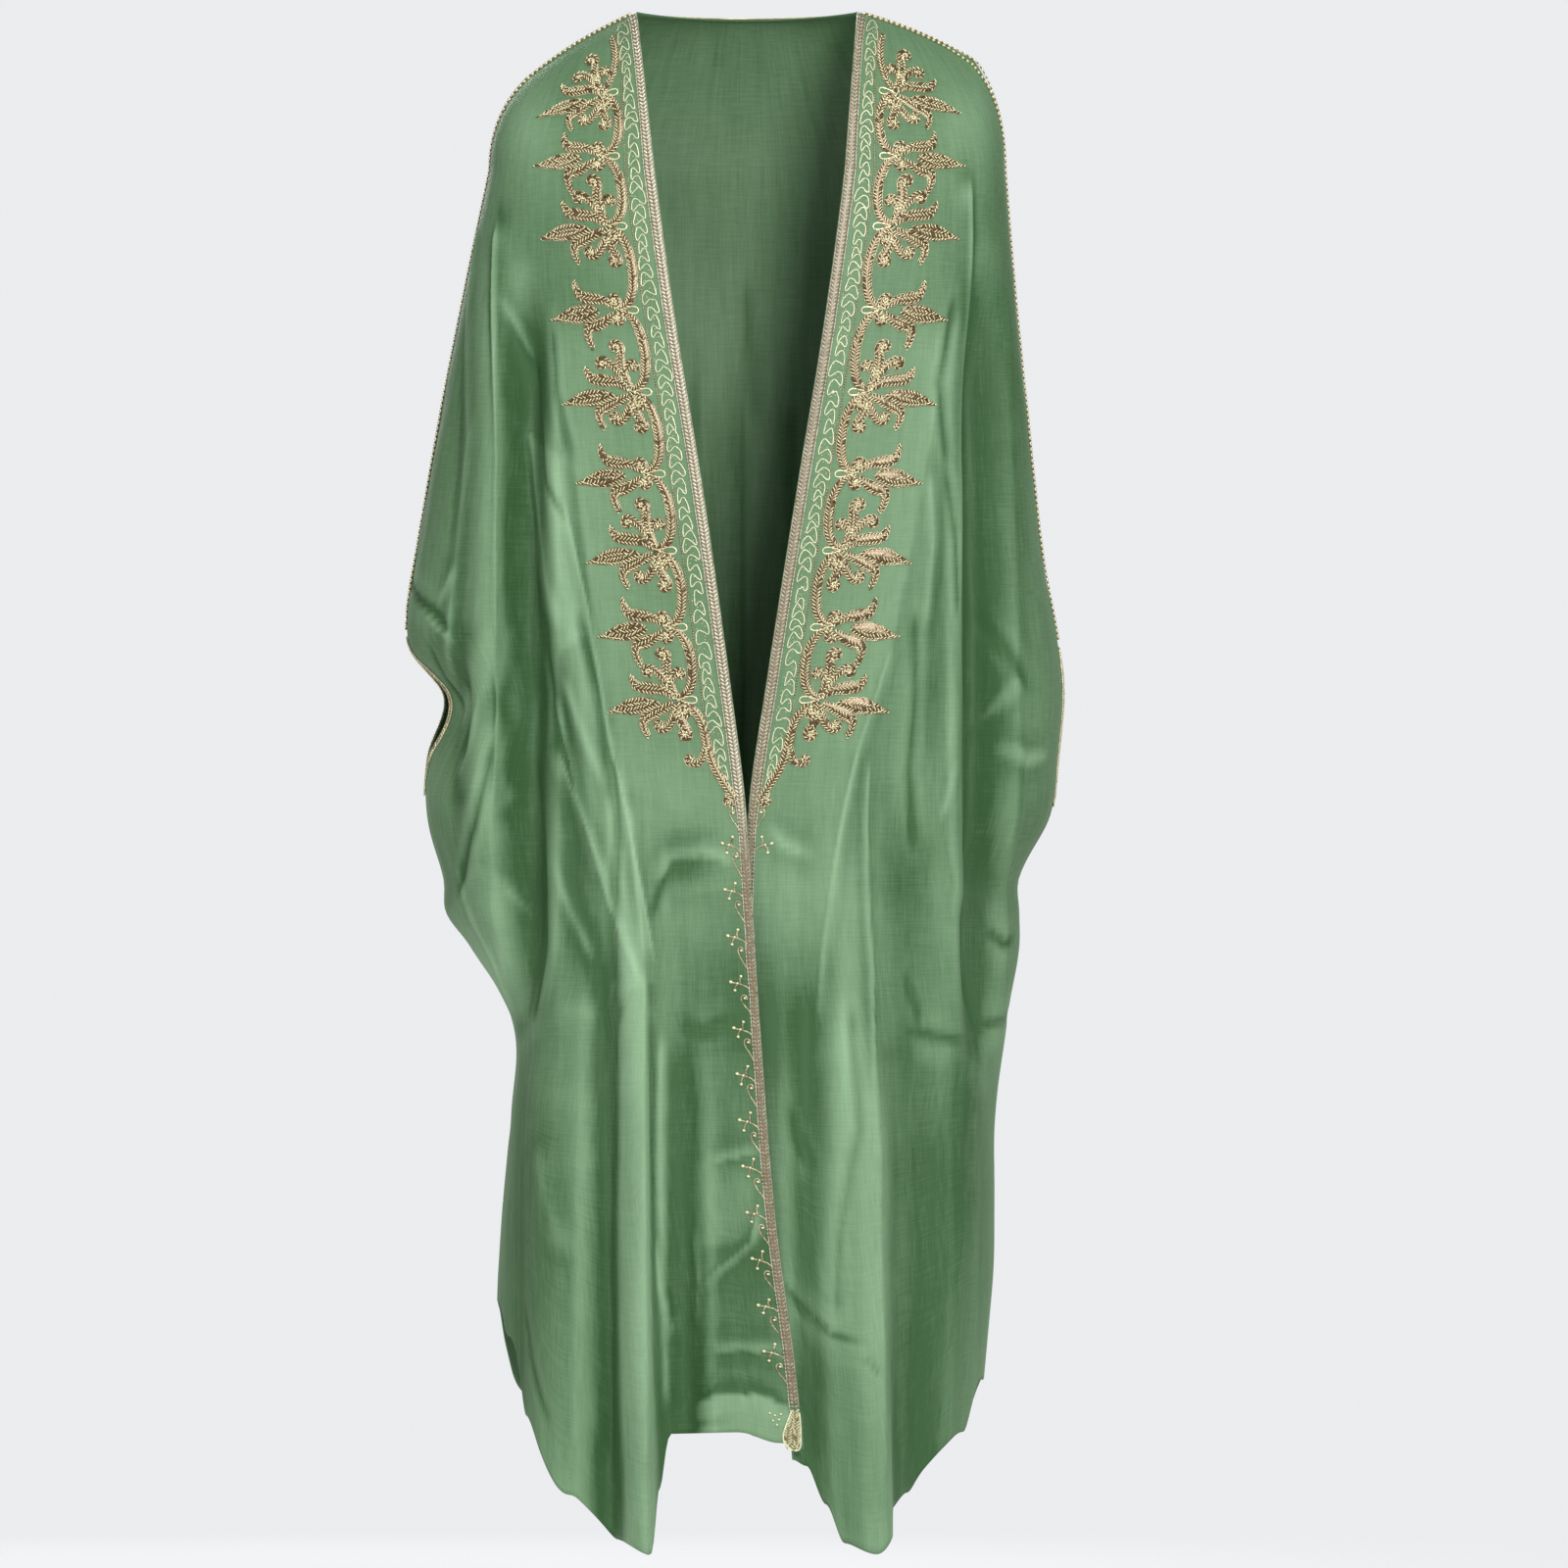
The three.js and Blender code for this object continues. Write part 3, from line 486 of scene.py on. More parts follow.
    @staticmethod
    def _crease(crease: Crease, line: np.ndarray, distance: np.ndarray, z: np.ndarray) -> np.ndarray:
        """How far one crease pushes places out.

        Args:
            crease: the crease.
            line: its points, as rows of a distance and a height.
            distance: distances from where the crease's own are measured.
            z: heights.

        Returns:
            How far out each place goes.
        """
        push = np.zeros(distance.shape)
        low, high = line.min(axis=0) - crease.half, line.max(axis=0) + crease.half
        here = (distance > low[0]) & (distance < high[0]) & (z > low[1]) & (z < high[1])
        if not here.any():
            return push
        distance, z = distance[here], z[here]
        lengths = np.hypot(*np.diff(line, axis=0).T)
        starts = np.concatenate([[0], np.cumsum(lengths)])
        fade = min(CREASE_FADE, starts[-1] / CREASE_ENDS)
        near = np.full(distance.shape, 1e9)
        along, hand = np.zeros(distance.shape), np.zeros(distance.shape)
        for (a, b), (c, d), start, length in zip(line, line[1:], starts, lengths):
            u, v = (c - a) / length, (d - b) / length
            s = np.clip((distance - a) * u + (z - b) * v, 0, length)
            off = np.hypot(distance - a - s * u, z - b - s * v)
            closer = off < near
            near = np.where(closer, off, near)
            along = np.where(closer, start + s, along)
            hand = np.where(closer, np.sign((z - b) * u - (distance - a) * v), hand)
        share = near / crease.half
        if crease.step:
            sheer = hand * crease.step * (1 if crease.face is F else -1) > 0
            share = np.where(sheer, share * SHEER, share)
        ends = ease(along, 0, fade) * ease(starts[-1] - along, 0, fade)
        push[here] = crease.out * np.clip(1 - share, 0, 1) ** CREASE_POWER * ends
        return push

    def skin(self, side: Side, distance: Reals, z: Reals) -> np.ndarray:
        """Points of the cloth's outer face.

        Args:
            side: the side that the places are on.
            distance: distances round from the free front edge.
            z: heights.

        Returns:
            An array of points in millimetres.
        """
        distance, z = np.broadcast_arrays(np.asarray(distance, float), np.asarray(z, float))
        angle = self.angle(side, distance, z)
        x, y = self.outline(side, angle, z)
        step = 0.01
        ahead = self.outline(side, angle + step, z)
        behind = self.outline(side, angle - step, z)
        tx, ty = ahead[0] - behind[0], ahead[1] - behind[1]
        length = np.hypot(tx, ty)
        tx, ty = tx / length, ty / length
        out, along = self._push(side, distance, z)
        return np.stack([x + tx * along + side.value * ty * out, y + ty * along - side.value * tx * out, z], axis=-1)

    def shoulder_seam(self, side: Side, along: np.ndarray) -> np.ndarray:
        """Points of a shoulder seam, from the neck at 0 to the tip at 1.

        Args:
            side: the side.
            along: how much of the way along the seam.

        Returns:
            The points.
        """
        tip = SHOULDER_TIP[side]
        bow = SHOULDER_BOW * np.sin(math.pi * along)
        return np.stack([mix(side.value * NECK_HALF, tip[0], along), tip[1] * along, tip[2] * along + bow], axis=-1)

    def back_top(self, side: Side, far: np.ndarray) -> np.ndarray:
        """Points of the back's top edge, from the middle at 0 to a shoulder's tip at 1.

        Args:
            side: the side.
            far: how much of the way along the edge.

        Returns:
            The points.
        """
        seam = self.shoulder_seam(side, np.clip((far - NECK_SHARE) / (1 - NECK_SHARE), 0, 1))
        t = np.clip(far / NECK_SHARE, 0, 1)
        back = np.maximum(np.cos(math.pi / 2 * t), 0) ** 0.75
        neck = np.stack([side.value * NECK_HALF * t, NECK_BACK * back, -NECK_DROP * back], axis=-1)
        return np.where((far > NECK_SHARE)[..., None], seam, neck)

    def over_shoulder(self, top: np.ndarray, side: Side, distance: np.ndarray, turn: np.ndarray) -> np.ndarray:
        """Points from the top edge, at turn 0, over the shoulder to the yoke's level, at turn 1.

        Args:
            top: the top edge's points.
            side: the side.
            distance: distances at the yoke's level.
            turn: how much of the way down to that level.

        Returns:
            The points.
        """
        level = self.skin(side, distance, np.full_like(distance, YOKE))
        sideness = np.sin(self.angle(side, distance, np.full_like(distance, YOKE))) ** 2
        across = np.sin(math.pi / 2 * turn)
        rounded = 1 - np.cos(math.pi / 2 * turn)
        sideways = mix(rounded, across, sideness)
        fall = mix(rounded, turn * (TIP_FALL + (1 - TIP_FALL) * turn), sideness)
        return np.stack(
            [mix(top[..., i], level[..., i], share) for i, share in enumerate((sideways, across, fall))], axis=-1
        )

    def lip(self, side: Side, z: Reals, face: Face) -> Reals:
        """How far the lip of a hand opening stands from the side seam's line.

        Args:
            side: the side.
            z: heights.
            face: the front lip or the back one.

        Returns:
            The distances.
        """
        top, bottom, front, back = HAND[side]
        inside = (z < top) & (z > bottom)
        return np.where(inside, (front if face is F else back) * np.sin(math.pi * (z - top) / (bottom - top)), 0)

    def distance(self, side: Side, face: Face, far: Reals, z: Reals) -> Reals:
        """The distance of a place on a panel.

        Args:
            side: the side that the place is on.
            face: the front panel or the back one.
            far: the share of the way from the front's free edge, or from the middle of the back, to the side seam.
            z: heights.

        Returns:
            Distances round from the free front edge.
        """
        line, seam = self.mark((side, face), z), self.mark((side, "side"), z)
        lip = self.lip(side, z, face) + SEAM_GAP
        if face is F:
            start, end = 0.0, seam - lip
        else:
            start, end = self.mark((side, "all"), z), seam + lip
        body = mix(start, line, far / BODY_SHARE)
        arm = mix(line, end, (far - BODY_SHARE) / (1 - BODY_SHARE))
        return np.where(far < BODY_SHARE, body, arm)

    def hem(self, side: Side, face: Face, far: np.ndarray) -> np.ndarray:
        """The hem's height at a share of the way across a panel.

        Args:
            side: the side.
            face: a front panel or the back one.
            far: the share of the way across the panel.

        Returns:
            The heights.
        """
        at_side = HEM[side][-1][1]
        if face is B:
            wave = HEM_BACK_DIP * np.cos(HEM_BACK_DIPS * math.pi * far) * (1 - far**2)
            return mix(HEM_BACK_CENTRE, at_side, ease(far, 0.35, 1)) + wave
        level = np.full_like(far, HEM_READ)
        line, seam = self.mark((side, F), level), self.mark((side, "side"), level)
        arm = mix(line, seam, (far - BODY_SHARE) / (1 - BODY_SHARE))
        distance = np.where(far < BODY_SHARE, far / BODY_SHARE * line, arm)
        x = side.value * self.outline(side, self.angle(side, distance, level), level)[0]
        rows = HEM[side]
        z = np.full_like(far, rows[0][1], dtype=float)
        for (x0, z0), (x1, z1) in zip(rows, rows[1:]):
            z = np.where(x > x0, mix(z0, z1, ease(x, x0, x1)), z)
        return z

    def height(self, side: Side, face: Face, far: np.ndarray, row: np.ndarray) -> np.ndarray:
        """The height of a place on a panel, or the yoke's for a place over the shoulder."""
        level = mix(YOKE, LEVEL_END, np.clip(row - 1, 0, 1))
        return np.where(row < 2, level, mix(LEVEL_END, self.hem(side, face, far), row - 2))

    def points(self, side: Side, face: Face, far: Reals, row: Reals) -> np.ndarray:
        """Points of a panel, in millimetres.

        Args:
            side: the side that the places are on.
            face: a front panel or the back one.
            far: the share of the way from the front's free edge, or the back's middle, to the side seam.
            row: 0 at the top, 1 at the yoke, 2 where the level rows end and 3 at the hem.

        Returns:
            An array of points.
        """
        far, row = np.broadcast_arrays(np.asarray(far, float), np.asarray(row, float))
        z = self.height(side, face, far, row)
        places = self.skin(side, self.distance(side, face, far, z), z)
        yoke = np.full_like(z, YOKE)
        top = self.shoulder_seam(side, far) if face is F else self.back_top(side, far)
        top[..., 1] += -SEAM_GAP if face is F else SEAM_GAP
        over = self.over_shoulder(top, side, self.distance(side, face, far, yoke), np.clip(row, 0, 1))
        smooth = np.where((row < 1)[..., None], over, places)
        return smooth + self.wrinkles(smooth, far if face is F else np.ones_like(far))

    def facing(self, side: Side, face: Face, far: np.ndarray, row: np.ndarray) -> np.ndarray:
        """The directions out of a panel at places like those of points().

        Args:
            side: the side that the places are on.
            face: a front panel or the back one.
            far: the share of the way across the panel.
            row: the panel rows, as in points().

        Returns:
            Directions 1 long.
        """
        across = self.points(side, face, np.minimum(far + 0.006, 1), row) - self.points(side, face, far - 0.006, row)
        downward = self.points(side, face, far, row + 0.01) - self.points(side, face, far, np.maximum(row - 0.01, 0))
        return unit(np.cross(across, downward) * side.value * (-1 if face is F else 1))

    def wrinkles(self, points: np.ndarray, far: np.ndarray) -> np.ndarray:
        """Small soft unevenness that runs mostly down the cloth.

        Args:
            points: the smooth points.
            far: their shares of the way across a front, or 1 on the back.

        Returns:
            A small move for each point, away from the robe's middle.
        """
        away = points * WRINKLE_WAY
        away = away / np.maximum(np.linalg.norm(away, axis=-1, keepdims=True), 1.0)
        waves = np.zeros(far.size)
        for wide, tall, shift, share in WRINKLE_WAVES:
            places = points.reshape(-1, 3) / (wide, wide, tall) + (0, shift, 0)
            waves += share * np.array([noise.noise(Vector(place)) for place in places.tolist()])
        worked = (1 - ease(far, *WORKED_ACROSS)) * ease(points[..., 2], *WORKED_DOWN)
        amount = WRINKLE * ease(-points[..., 2], *WRINKLE_DOWN) * (1 - WORKED_SMOOTH * worked)
        return away * (waves.reshape(far.shape) * amount)[..., None]

    def depth(self, side: Side, face: Face, far: np.ndarray, row: np.ndarray) -> np.ndarray:
        """How far the folds push each place of a panel out, or in, below the yoke."""
        z = self.height(side, face, far, row)
        return self._push(side, self.distance(side, face, far, z), z)[0] * (row >= 1)

    def front_place(self, side: Side, distance: np.ndarray, z: np.ndarray) -> tuple[np.ndarray, np.ndarray]:
        """The share and the row of a place on a front.

        Args:
            side: the front's side.
            distance: distances from the free edge.
            z: heights, which run on up over the shoulder to 0 at its seam.

        Returns:
            The shares across and the rows.
        """
        z = np.asarray(z, float)
        shoulder = 2 / math.pi * np.arccos(np.clip(1 - z / YOKE, 0, 1))
        seam = abs(SHOULDER_TIP[side][0]) - NECK_HALF
        line = self.mark((side, F), np.clip(z, LEVEL_END, YOKE)) / BODY_SHARE
        reach = np.where(z > YOKE, mix(seam, line, np.sin(math.pi / 2 * shoulder)), line)
        far = np.clip(distance / reach, 0, 1)
        level = 1 + (YOKE - z) / (YOKE - LEVEL_END)
        low = 2 + (LEVEL_END - z) / (LEVEL_END - self.hem(side, F, far))
        return far, np.where(z > YOKE, shoulder, np.where(z > LEVEL_END, level, low))


def row_of(z: Reals) -> Reals:
    """The panel row at a height among the level rows."""
    return 1 + (YOKE - z) / (YOKE - LEVEL_END)


def creases(face: Face, side: Side, *rows: tuple) -> list[Crease]:
    """Creases from rows of a half width, a height, a step and then the points."""
    return [Crease(face, side, tuple(line), half, out, step) for half, out, step, *line in rows]


# Fine creases that only the thin cloth has
CREASES = [
    *creases(
        F, R,
        (26, 6.5, 1, (-234, -190), (-236, -420), (-237, -600), (-238, -760)),
        (11, 2.6, 0, (-250, -190), (-262, -400), (-272, -640)),
        (9, 2.6, 0, (-233, -262), (-219, -300), (-204, -345)),
        (8, -3.4, 0, (-206, -322), (-205, -375), (-191, -446), (-163, -490)),
        (8, -3.4, 0, (-185, -292), (-180, -361), (-161, -436)),
        (10, -3.6, 0, (-224, -385), (-214, -470), (-196, -620)),
        (13, 4.2, 0, (-216, -379), (-208, -450), (-192, -540), (-176, -590)),
        (9, -3.2, 0, (-196, -560), (-184, -640), (-181, -715)),
        (11, 3.4, 0, (-176, -618), (-158, -672), (-130, -740)),
        (18, 4.0, -1, (-182, -690), (-160, -745), (-128, -826)),
        (11, 3.0, 0, (-190, -795), (-168, -845), (-140, -905)),
        (9, -3.4, 0, (-160, -560), (-140, -640), (-131, -700), (-126, -760)),
        (9, -4.4, 0, (-126, -690), (-122, -780), (-128, -880), (-129, -1060), (-131, -1380)),
        (10, 2.8, 0, (-112, -740), (-105, -810), (-99, -900)),
        (11, 3.6, 0, (-101, -900), (-100, -1100), (-100, -1385)),
        (7, -3.4, 0, (-92, -980), (-92, -1120), (-91, -1310)),
        (9, 3.0, 0, (-80, -960), (-79, -1150), (-76, -1320)),
        (7, -2.2, 0, (-135, -1000), (-136, -1180), (-134, -1380)),
        (10, 3.0, -1, (-84, -1150), (-80, -1200), (-62, -1270)),
        (10, -4.0, 0, (-239, -680), (-256, -770), (-273, -842)),
        (10, -4.2, 0, (-317, -536), (-296, -566), (-272, -592)),
        (9, 2.6, 0, (-272, -520), (-284, -548), (-294, -566)),
        (10, -3.4, 0, (-268, -610), (-260, -660), (-266, -720)),
        (8, 2.4, 0, (-250, -640), (-262, -700), (-272, -730)),
        (8, 2.0, 0, (-238, -815), (-222, -842), (-208, -868)),
        (16, 4.0, 1, (-85, -828), (-72, -800), (-42, -795), (-6, -806)),
        (8, -2.6, 0, (-92, -862), (-80, -822), (-70, -806)),
        (14, -2.4, 0, (-70, -952), (-40, -962), (-4, -948)),
        (13, 2.8, 1, (-44, -1086), (-18, -1080), (18, -1072)),
        (11, 3.6, 1, (12, -1120), (4, -1158), (-14, -1174), (-30, -1186), (-44, -1204)),
        (13, 3.2, 1, (-46, -1262), (-10, -1258), (44, -1262)),
        (12, -4.0, 1, (-70, -1316), (-46, -1304), (-18, -1298), (10, -1299), (34, -1308), (50, -1320)),
        (6, -1.6, 0, (-66, -1336), (-36, -1326), (-12, -1325)),
        (10, 3.2, -1, (-172, -455), (-150, -560), (-128, -690), (-98, -830), (-84, -905)),
        (10, 3.0, 1, (-185, -640), (-160, -740), (-128, -850), (-110, -925)),
        (11, -3.0, 0, (-212, -700), (-200, -790), (-196, -880), (-200, -960)),
        (7, -2.6, 0, (-300, -590), (-284, -630), (-262, -668)),
        (7, 2.4, 0, (-310, -560), (-284, -588), (-258, -600)),
        (8, 2.0, 0, (-276, -800), (-262, -846), (-236, -900), (-218, -950)),
        (8, 2.6, 0, (-50, -1140), (-46, -1190), (-48, -1250)),
        (22, 2.6, 0, (-188, -1060), (-178, -1120), (-160, -1180)),
        (9, -2.0, 0, (-204, -1210), (-192, -1270), (-170, -1340)),
    ),
    *creases(
        F, L,
        (24, 6.0, 1, (209, -150), (208, -420), (207, -560), (207, -700), (214, -860)),
        (9, -3.4, 0, (197, -262), (182, -352), (186, -392), (194, -440)),
        (9, -2.6, 0, (188, -420), (200, -500), (203, -580)),
        (12, 2.8, 0, (172, -430), (176, -500), (168, -590)),
        (11, -3.2, 0, (158, -560), (160, -640), (154, -720), (160, -800)),
        (8, 2.6, 0, (202, -700), (190, -742), (180, -770)),
        (12, 2.2, -1, (139, -590), (106, -690), (76, -845), (66, -960)),
        (8, 3.0, 1, (117, -700), (118, -900), (117, -1100), (116, -1390)),
        (12, -2.8, 0, (96, -930), (100, -1050), (84, -1180), (82, -1240)),
        (10, -3.6, 1, (30, -1190), (56, -1222), (82, -1245), (114, -1247)),
        (7, -2.4, 0, (100, -1262), (112, -1280), (120, -1292)),
        (10, -2.6, 0, (148, -958), (176, -966), (210, -972)),
        (8, -2.2, 0, (150, -900), (164, -940), (166, -965)),
        (14, 3.0, 0, (212, -690), (238, -660), (262, -620)),
        (12, -2.6, 0, (222, -560), (246, -600), (268, -650)),
        (12, 3.6, 0, (234, -690), (262, -706), (286, -700)),
        (9, -3.2, 0, (232, -860), (244, -880), (254, -872)),
        (9, -3.0, 0, (220, -960), (236, -954), (250, -944)),
        (12, 2.4, 0, (14, -760), (34, -786), (70, -800)),
        (12, -2.6, 0, (40, -1020), (46, -1060), (66, -1096)),
    ),
    *creases(
        B, R,
        (24, 5.5, -1, (-238, -220), (-246, -480), (-240, -760)),
        (12, -3.2, 0, (-190, -300), (-168, -430), (-150, -620)),
        (11, 2.8, 0, (-150, -420), (-146, -640), (-152, -900)),
        (9, -3.2, 0, (-96, -560), (-102, -900), (-94, -1260)),
        (10, -2.6, 0, (-46, -330), (-50, -520), (-44, -720)),
        (14, 3.0, 1, (-140, -1000), (-112, -1060), (-100, -1150)),
        (11, 3.0, 0, (-200, -820), (-178, -900), (-172, -980)),
        (12, -2.6, 0, (-230, -1040), (-214, -1140), (-206, -1230)),
    ),
    *creases(
        B, L,
        (24, 5.5, 1, (236, -220), (246, -470), (240, -760)),
        (12, -3.2, 0, (186, -310), (162, -450), (150, -640)),
        (9, 3.0, 1, (92, -500), (96, -820), (98, -1240)),
        (10, -2.8, 0, (40, -360), (44, -600), (46, -860)),
        (13, -3.0, 0, (142, -980), (120, -1080), (112, -1170)),
        (11, 3.0, 0, (206, -800), (184, -900), (180, -990)),
        (14, -2.4, 0, (0, -240), (4, -300), (10, -390)),
        (12, -2.6, 0, (226, -1040), (210, -1150), (200, -1240)),
    ),
]


# Shading


class Socket:
    """A node's socket whose sums and products are Math nodes."""

    def __init__(self, tree: bpy.types.NodeTree, socket: bpy.types.NodeSocket) -> None:
        """Keeps the tree and the socket."""
        self.tree = tree
        self.socket = socket

    def _math(self, operation: str, *values: "Socket | float", clamp: bool = False) -> "Socket":
        """Adds a Math node over sockets or numbers.

        Args:
            operation: the node's operation.
            values: what it works on.
            clamp: whether its result is kept from 0 to 1.

        Returns:
            The node's result.
        """
        node = self.tree.nodes.new("ShaderNodeMath")
        node.operation = operation
        node.use_clamp = clamp
        for value, socket in zip(values, node.inputs):
            plug(self.tree, value, socket)
        return Socket(self.tree, node.outputs[0])

    def __add__(self, other: "Socket | float") -> "Socket":
        """Their sum."""
        return self._math("ADD", self, other)

    __radd__ = __add__

    def __mul__(self, other: "Socket | float") -> "Socket":
        """Their product."""
        return self._math("MULTIPLY", self, other)

    def __sub__(self, other: "Socket | float") -> "Socket":
        """Their difference."""
        return self._math("SUBTRACT", self, other)

    def __rsub__(self, other: float) -> "Socket":
        """A number less this."""
        return self._math("SUBTRACT", other, self)

    def __abs__(self) -> "Socket":
        """Its size without its sign."""
        return self._math("ABSOLUTE", self)

    def clamp(self) -> "Socket":
        """This, kept from 0 to 1."""
        return self._math("ADD", self, 0.0, clamp=True)


def plug(tree: bpy.types.NodeTree, value: Socket | tuple | float, socket: bpy.types.NodeSocket) -> None:
    """Links a Socket into a node, or sets a plain value or a colour.

    Args:
        tree: the material's nodes.
        value: what goes in.
        socket: the input that takes it.
    """
    if isinstance(value, Socket):
        tree.links.new(value.socket, socket)
    elif isinstance(value, tuple) and len(value) == 3 and socket.type == "RGBA":
        socket.default_value = (*value, 1)
    else:
        socket.default_value = value


class Shader:
    """A material under construction."""

    def __init__(self, name: str) -> None:
        """Makes an empty material with a Principled shader.

        Args:
            name: the material's name.
        """
        self.material = bpy.data.materials.new(name)
        self.material.use_nodes = True
        self.tree = self.material.node_tree
        self.surface = next(node for node in self.tree.nodes if node.type == "BSDF_PRINCIPLED")

    def node(self, kind: str, settings: dict | None = None, **inputs: Socket | tuple | float) -> bpy.types.Node:
        """Adds a node.

        Args:
            kind: the node's type, without its ShaderNode prefix.
            settings: properties that are set first.
            inputs: values or Sockets by the socket's name, with _ for a space, or by s0, s1 and so on.

        Returns:
            The node.
        """
        node = self.tree.nodes.new("ShaderNode" + kind)
        for key, value in (settings or {}).items():
            setattr(node, key, value)
        for key, value in inputs.items():
            by_place = key[0] == "s" and key[1:].isdigit()
            plug(self.tree, value, node.inputs[int(key[1:]) if by_place else key.replace("_", " ")])
        return node

    def out(self, node: bpy.types.Node, name: str | int = 0) -> Socket:
        """A node's output as a Socket."""
        return Socket(self.tree, node.outputs[name])

    def blend(self, first: tuple, second: tuple, share: Socket) -> Socket:
        """Mixes two colours, with share as how much of the second one shows."""
        return self.out(self.node("Mix", {"data_type": "RGBA"}, s0=share, s6=first, s7=second), 2)

    def set(self, **values: Socket | tuple | float) -> None:
        """Sets the Principled shader's sockets, with _ for a space in their names."""
        for key, value in values.items():
            plug(self.tree, value, self.surface.inputs[key.replace("_", " ")])


def linear(red: int, green: int, blue: int) -> tuple[float, float, float]:
    """Turns an everyday colour of 0 to 255 into the renderer's own numbers."""
    parts = (value / 255 for value in (red, green, blue))
    return tuple(part / 12.92 if part <= 0.04045 else ((part + 0.055) / 1.055) ** 2.4 for part in parts)


@dataclass(frozen=True)
class ClothFinish:
    """Fine plain-woven green cloth with a soft sheen."""

    name: str = "green_cloth"
    # deep is the green in painted shade and light the green in painted light; the attribute moves the colour between
    # them
    deep: tuple[float, float, float] = linear(58, 95, 54)
    light: tuple[float, float, float] = linear(154, 190, 150)
    thread: float = 0.0006

    def make(self) -> bpy.types.Material:
        """Builds the material, whose colour follows the cloth's attribute of painted light and shade from its folds
        and creases.

        Returns:
            The material.
        """
        shader = Shader(self.name)
        tone = shader.out(shader.node("Attribute", {"attribute_name": "tone"}), "Fac")
        place = shader.out(shader.node("TexCoord"), "Object")
        weave_place = shader.out(shader.node("UVMap", {"uv_map": "flat"}), "UV")
        dye = shader.out(shader.node("TexNoise", Vector=place, Scale=7.0, Detail=4.0, Roughness=0.55), 0)
        slub = self.streaks(shader, weave_place, (700.0, 36.0), 2.0)
        weft = self.streaks(shader, weave_place, (34.0, 620.0), 2.0)
        drape = self.streaks(shader, weave_place, (120.0, 9.0), 3.0)
        crumple = abs(self.streaks(shader, weave_place, (36.0, 13.0), 3.0) - 0.5)
        # The share is the attribute's painted light and shade, the dye's, slubs' and weft's own streaks, and painted
        # shade along the drape streaks that the bump also raises
        share = tone + (dye - 0.5) * 0.24 + (slub - 0.5) * 0.26 + (weft - 0.5) * 0.22 + (drape - 0.5) * 0.20
        colour = shader.blend(self.deep, self.light, share.clamp())
        waves = [
            shader.out(
                shader.node(
                    "TexWave",
                    {"bands_direction": direction},
                    Vector=weave_place,
                    Scale=1.0 / self.thread / 6.0,
                    Distortion=0.4,
                ),
                1,
            )
            for direction in ("X", "Y")
        ]
        height = waves[0] * 0.5 + waves[1] * 0.5 + slub * 0.8 + weft * 0.6
        soft = shader.node("Bump", Strength=0.3, Distance=0.004, Height=crumple + drape * 0.3)
        bump = shader.node("Bump", Strength=0.22, Distance=0.0002, Height=height, Normal=shader.out(soft))
        shader.set(
            Base_Color=colour,
            Roughness=(0.58 + (slub - 0.5) * 0.12).clamp(),
            Sheen_Weight=0.14,
            Sheen_Roughness=0.4,
            Sheen_Tint=linear(176, 218, 168),
            Specular_IOR_Level=0.3,
            Normal=shader.out(bump),
        )
        return shader.material

    @staticmethod
    def streaks(shader: Shader, place: Socket, scale: tuple[float, float], detail: float) -> Socket:
        """Noise that is stretched along the warp or the weft.

        Args:
            shader: the material.
            place: where the noise is read.
            scale: its scale each way.
            detail: how fine its detail is.

        Returns:
            The noise.
        """
        stretched = shader.node("Mapping", Vector=place)
        stretched.inputs["Scale"].default_value = (*scale, 1.0)
        return shader.out(shader.node("TexNoise", Vector=shader.out(stretched), Scale=1.0, Detail=detail), 0)


@dataclass(frozen=True)
class ThreadFinish:
    """Metal-wrapped thread whose stitches each have their own shade, from its dark colour to its near-white bright
    one, which paints glints and the shade between stitches.
    """

    name: str
    dark: tuple[float, float, float]
    bright: tuple[float, float, float]
    roughness: float
    metallic: float

    def make(self) -> bpy.types.Material:
        """Builds the material, whose brightness follows each stitch's shade attribute, with its painted glints and
        painted shade.

        Returns:
            The material.
        """
        shader = Shader(self.name)
        shade = shader.out(shader.node("Attribute", {"attribute_name": "shade"}), "Fac")
        place = shader.out(shader.node("TexCoord"), "Object")
        wrap = shader.out(shader.node("TexNoise", Vector=place, Scale=1500.0, Detail=1.0), 0)
        colour = shader.blend(self.dark, self.bright, (shade + (wrap - 0.5) * 0.5).clamp())
        bump = shader.node("Bump", Strength=0.35, Distance=0.0002, Height=wrap)
        shader.set(
            Base_Color=colour,
            Metallic=self.metallic,
            Roughness=(self.roughness + (wrap - 0.5) * 0.2).clamp(),
            Normal=shader.out(bump),
        )
        return shader.material


# Cloth


@dataclass(frozen=True)
class ToneEdge:
    """A crease line over a front, as (z, x) rows, with painted light on the cloth on its side towards the middle, and
    painted shade there where amount is below 0.

    soft is how far the line is blurred, and reach how far the lighter cloth goes on before it fades.
    """

    side: Side
    rows: tuple[tuple[float, float], ...]
    amount: float
    soft: float
    reach: float

    def tone(self, points: np.ndarray) -> np.ndarray:
        """How much painted light each point has, below 0 for painted shade.

        Args:
            points: points of the cloth.

        Returns:
            A part of the painted light and shade for each point.
        """
        heights = np.array([-z for z, _ in self.rows])
        x = np.interp(-points[:, 2], heights, [x for _, x in self.rows])
        inside = self.side.value * (x - points[:, 0])
        ends = ease(-points[:, 2], heights[0] - 30, heights[0] + 30) * (
            1 - ease(-points[:, 2], heights[-1] - 60, heights[-1])
        )
        return self.amount * ease(inside, -self.soft, self.soft) * np.exp(-np.maximum(inside, 0) / self.reach) * ends


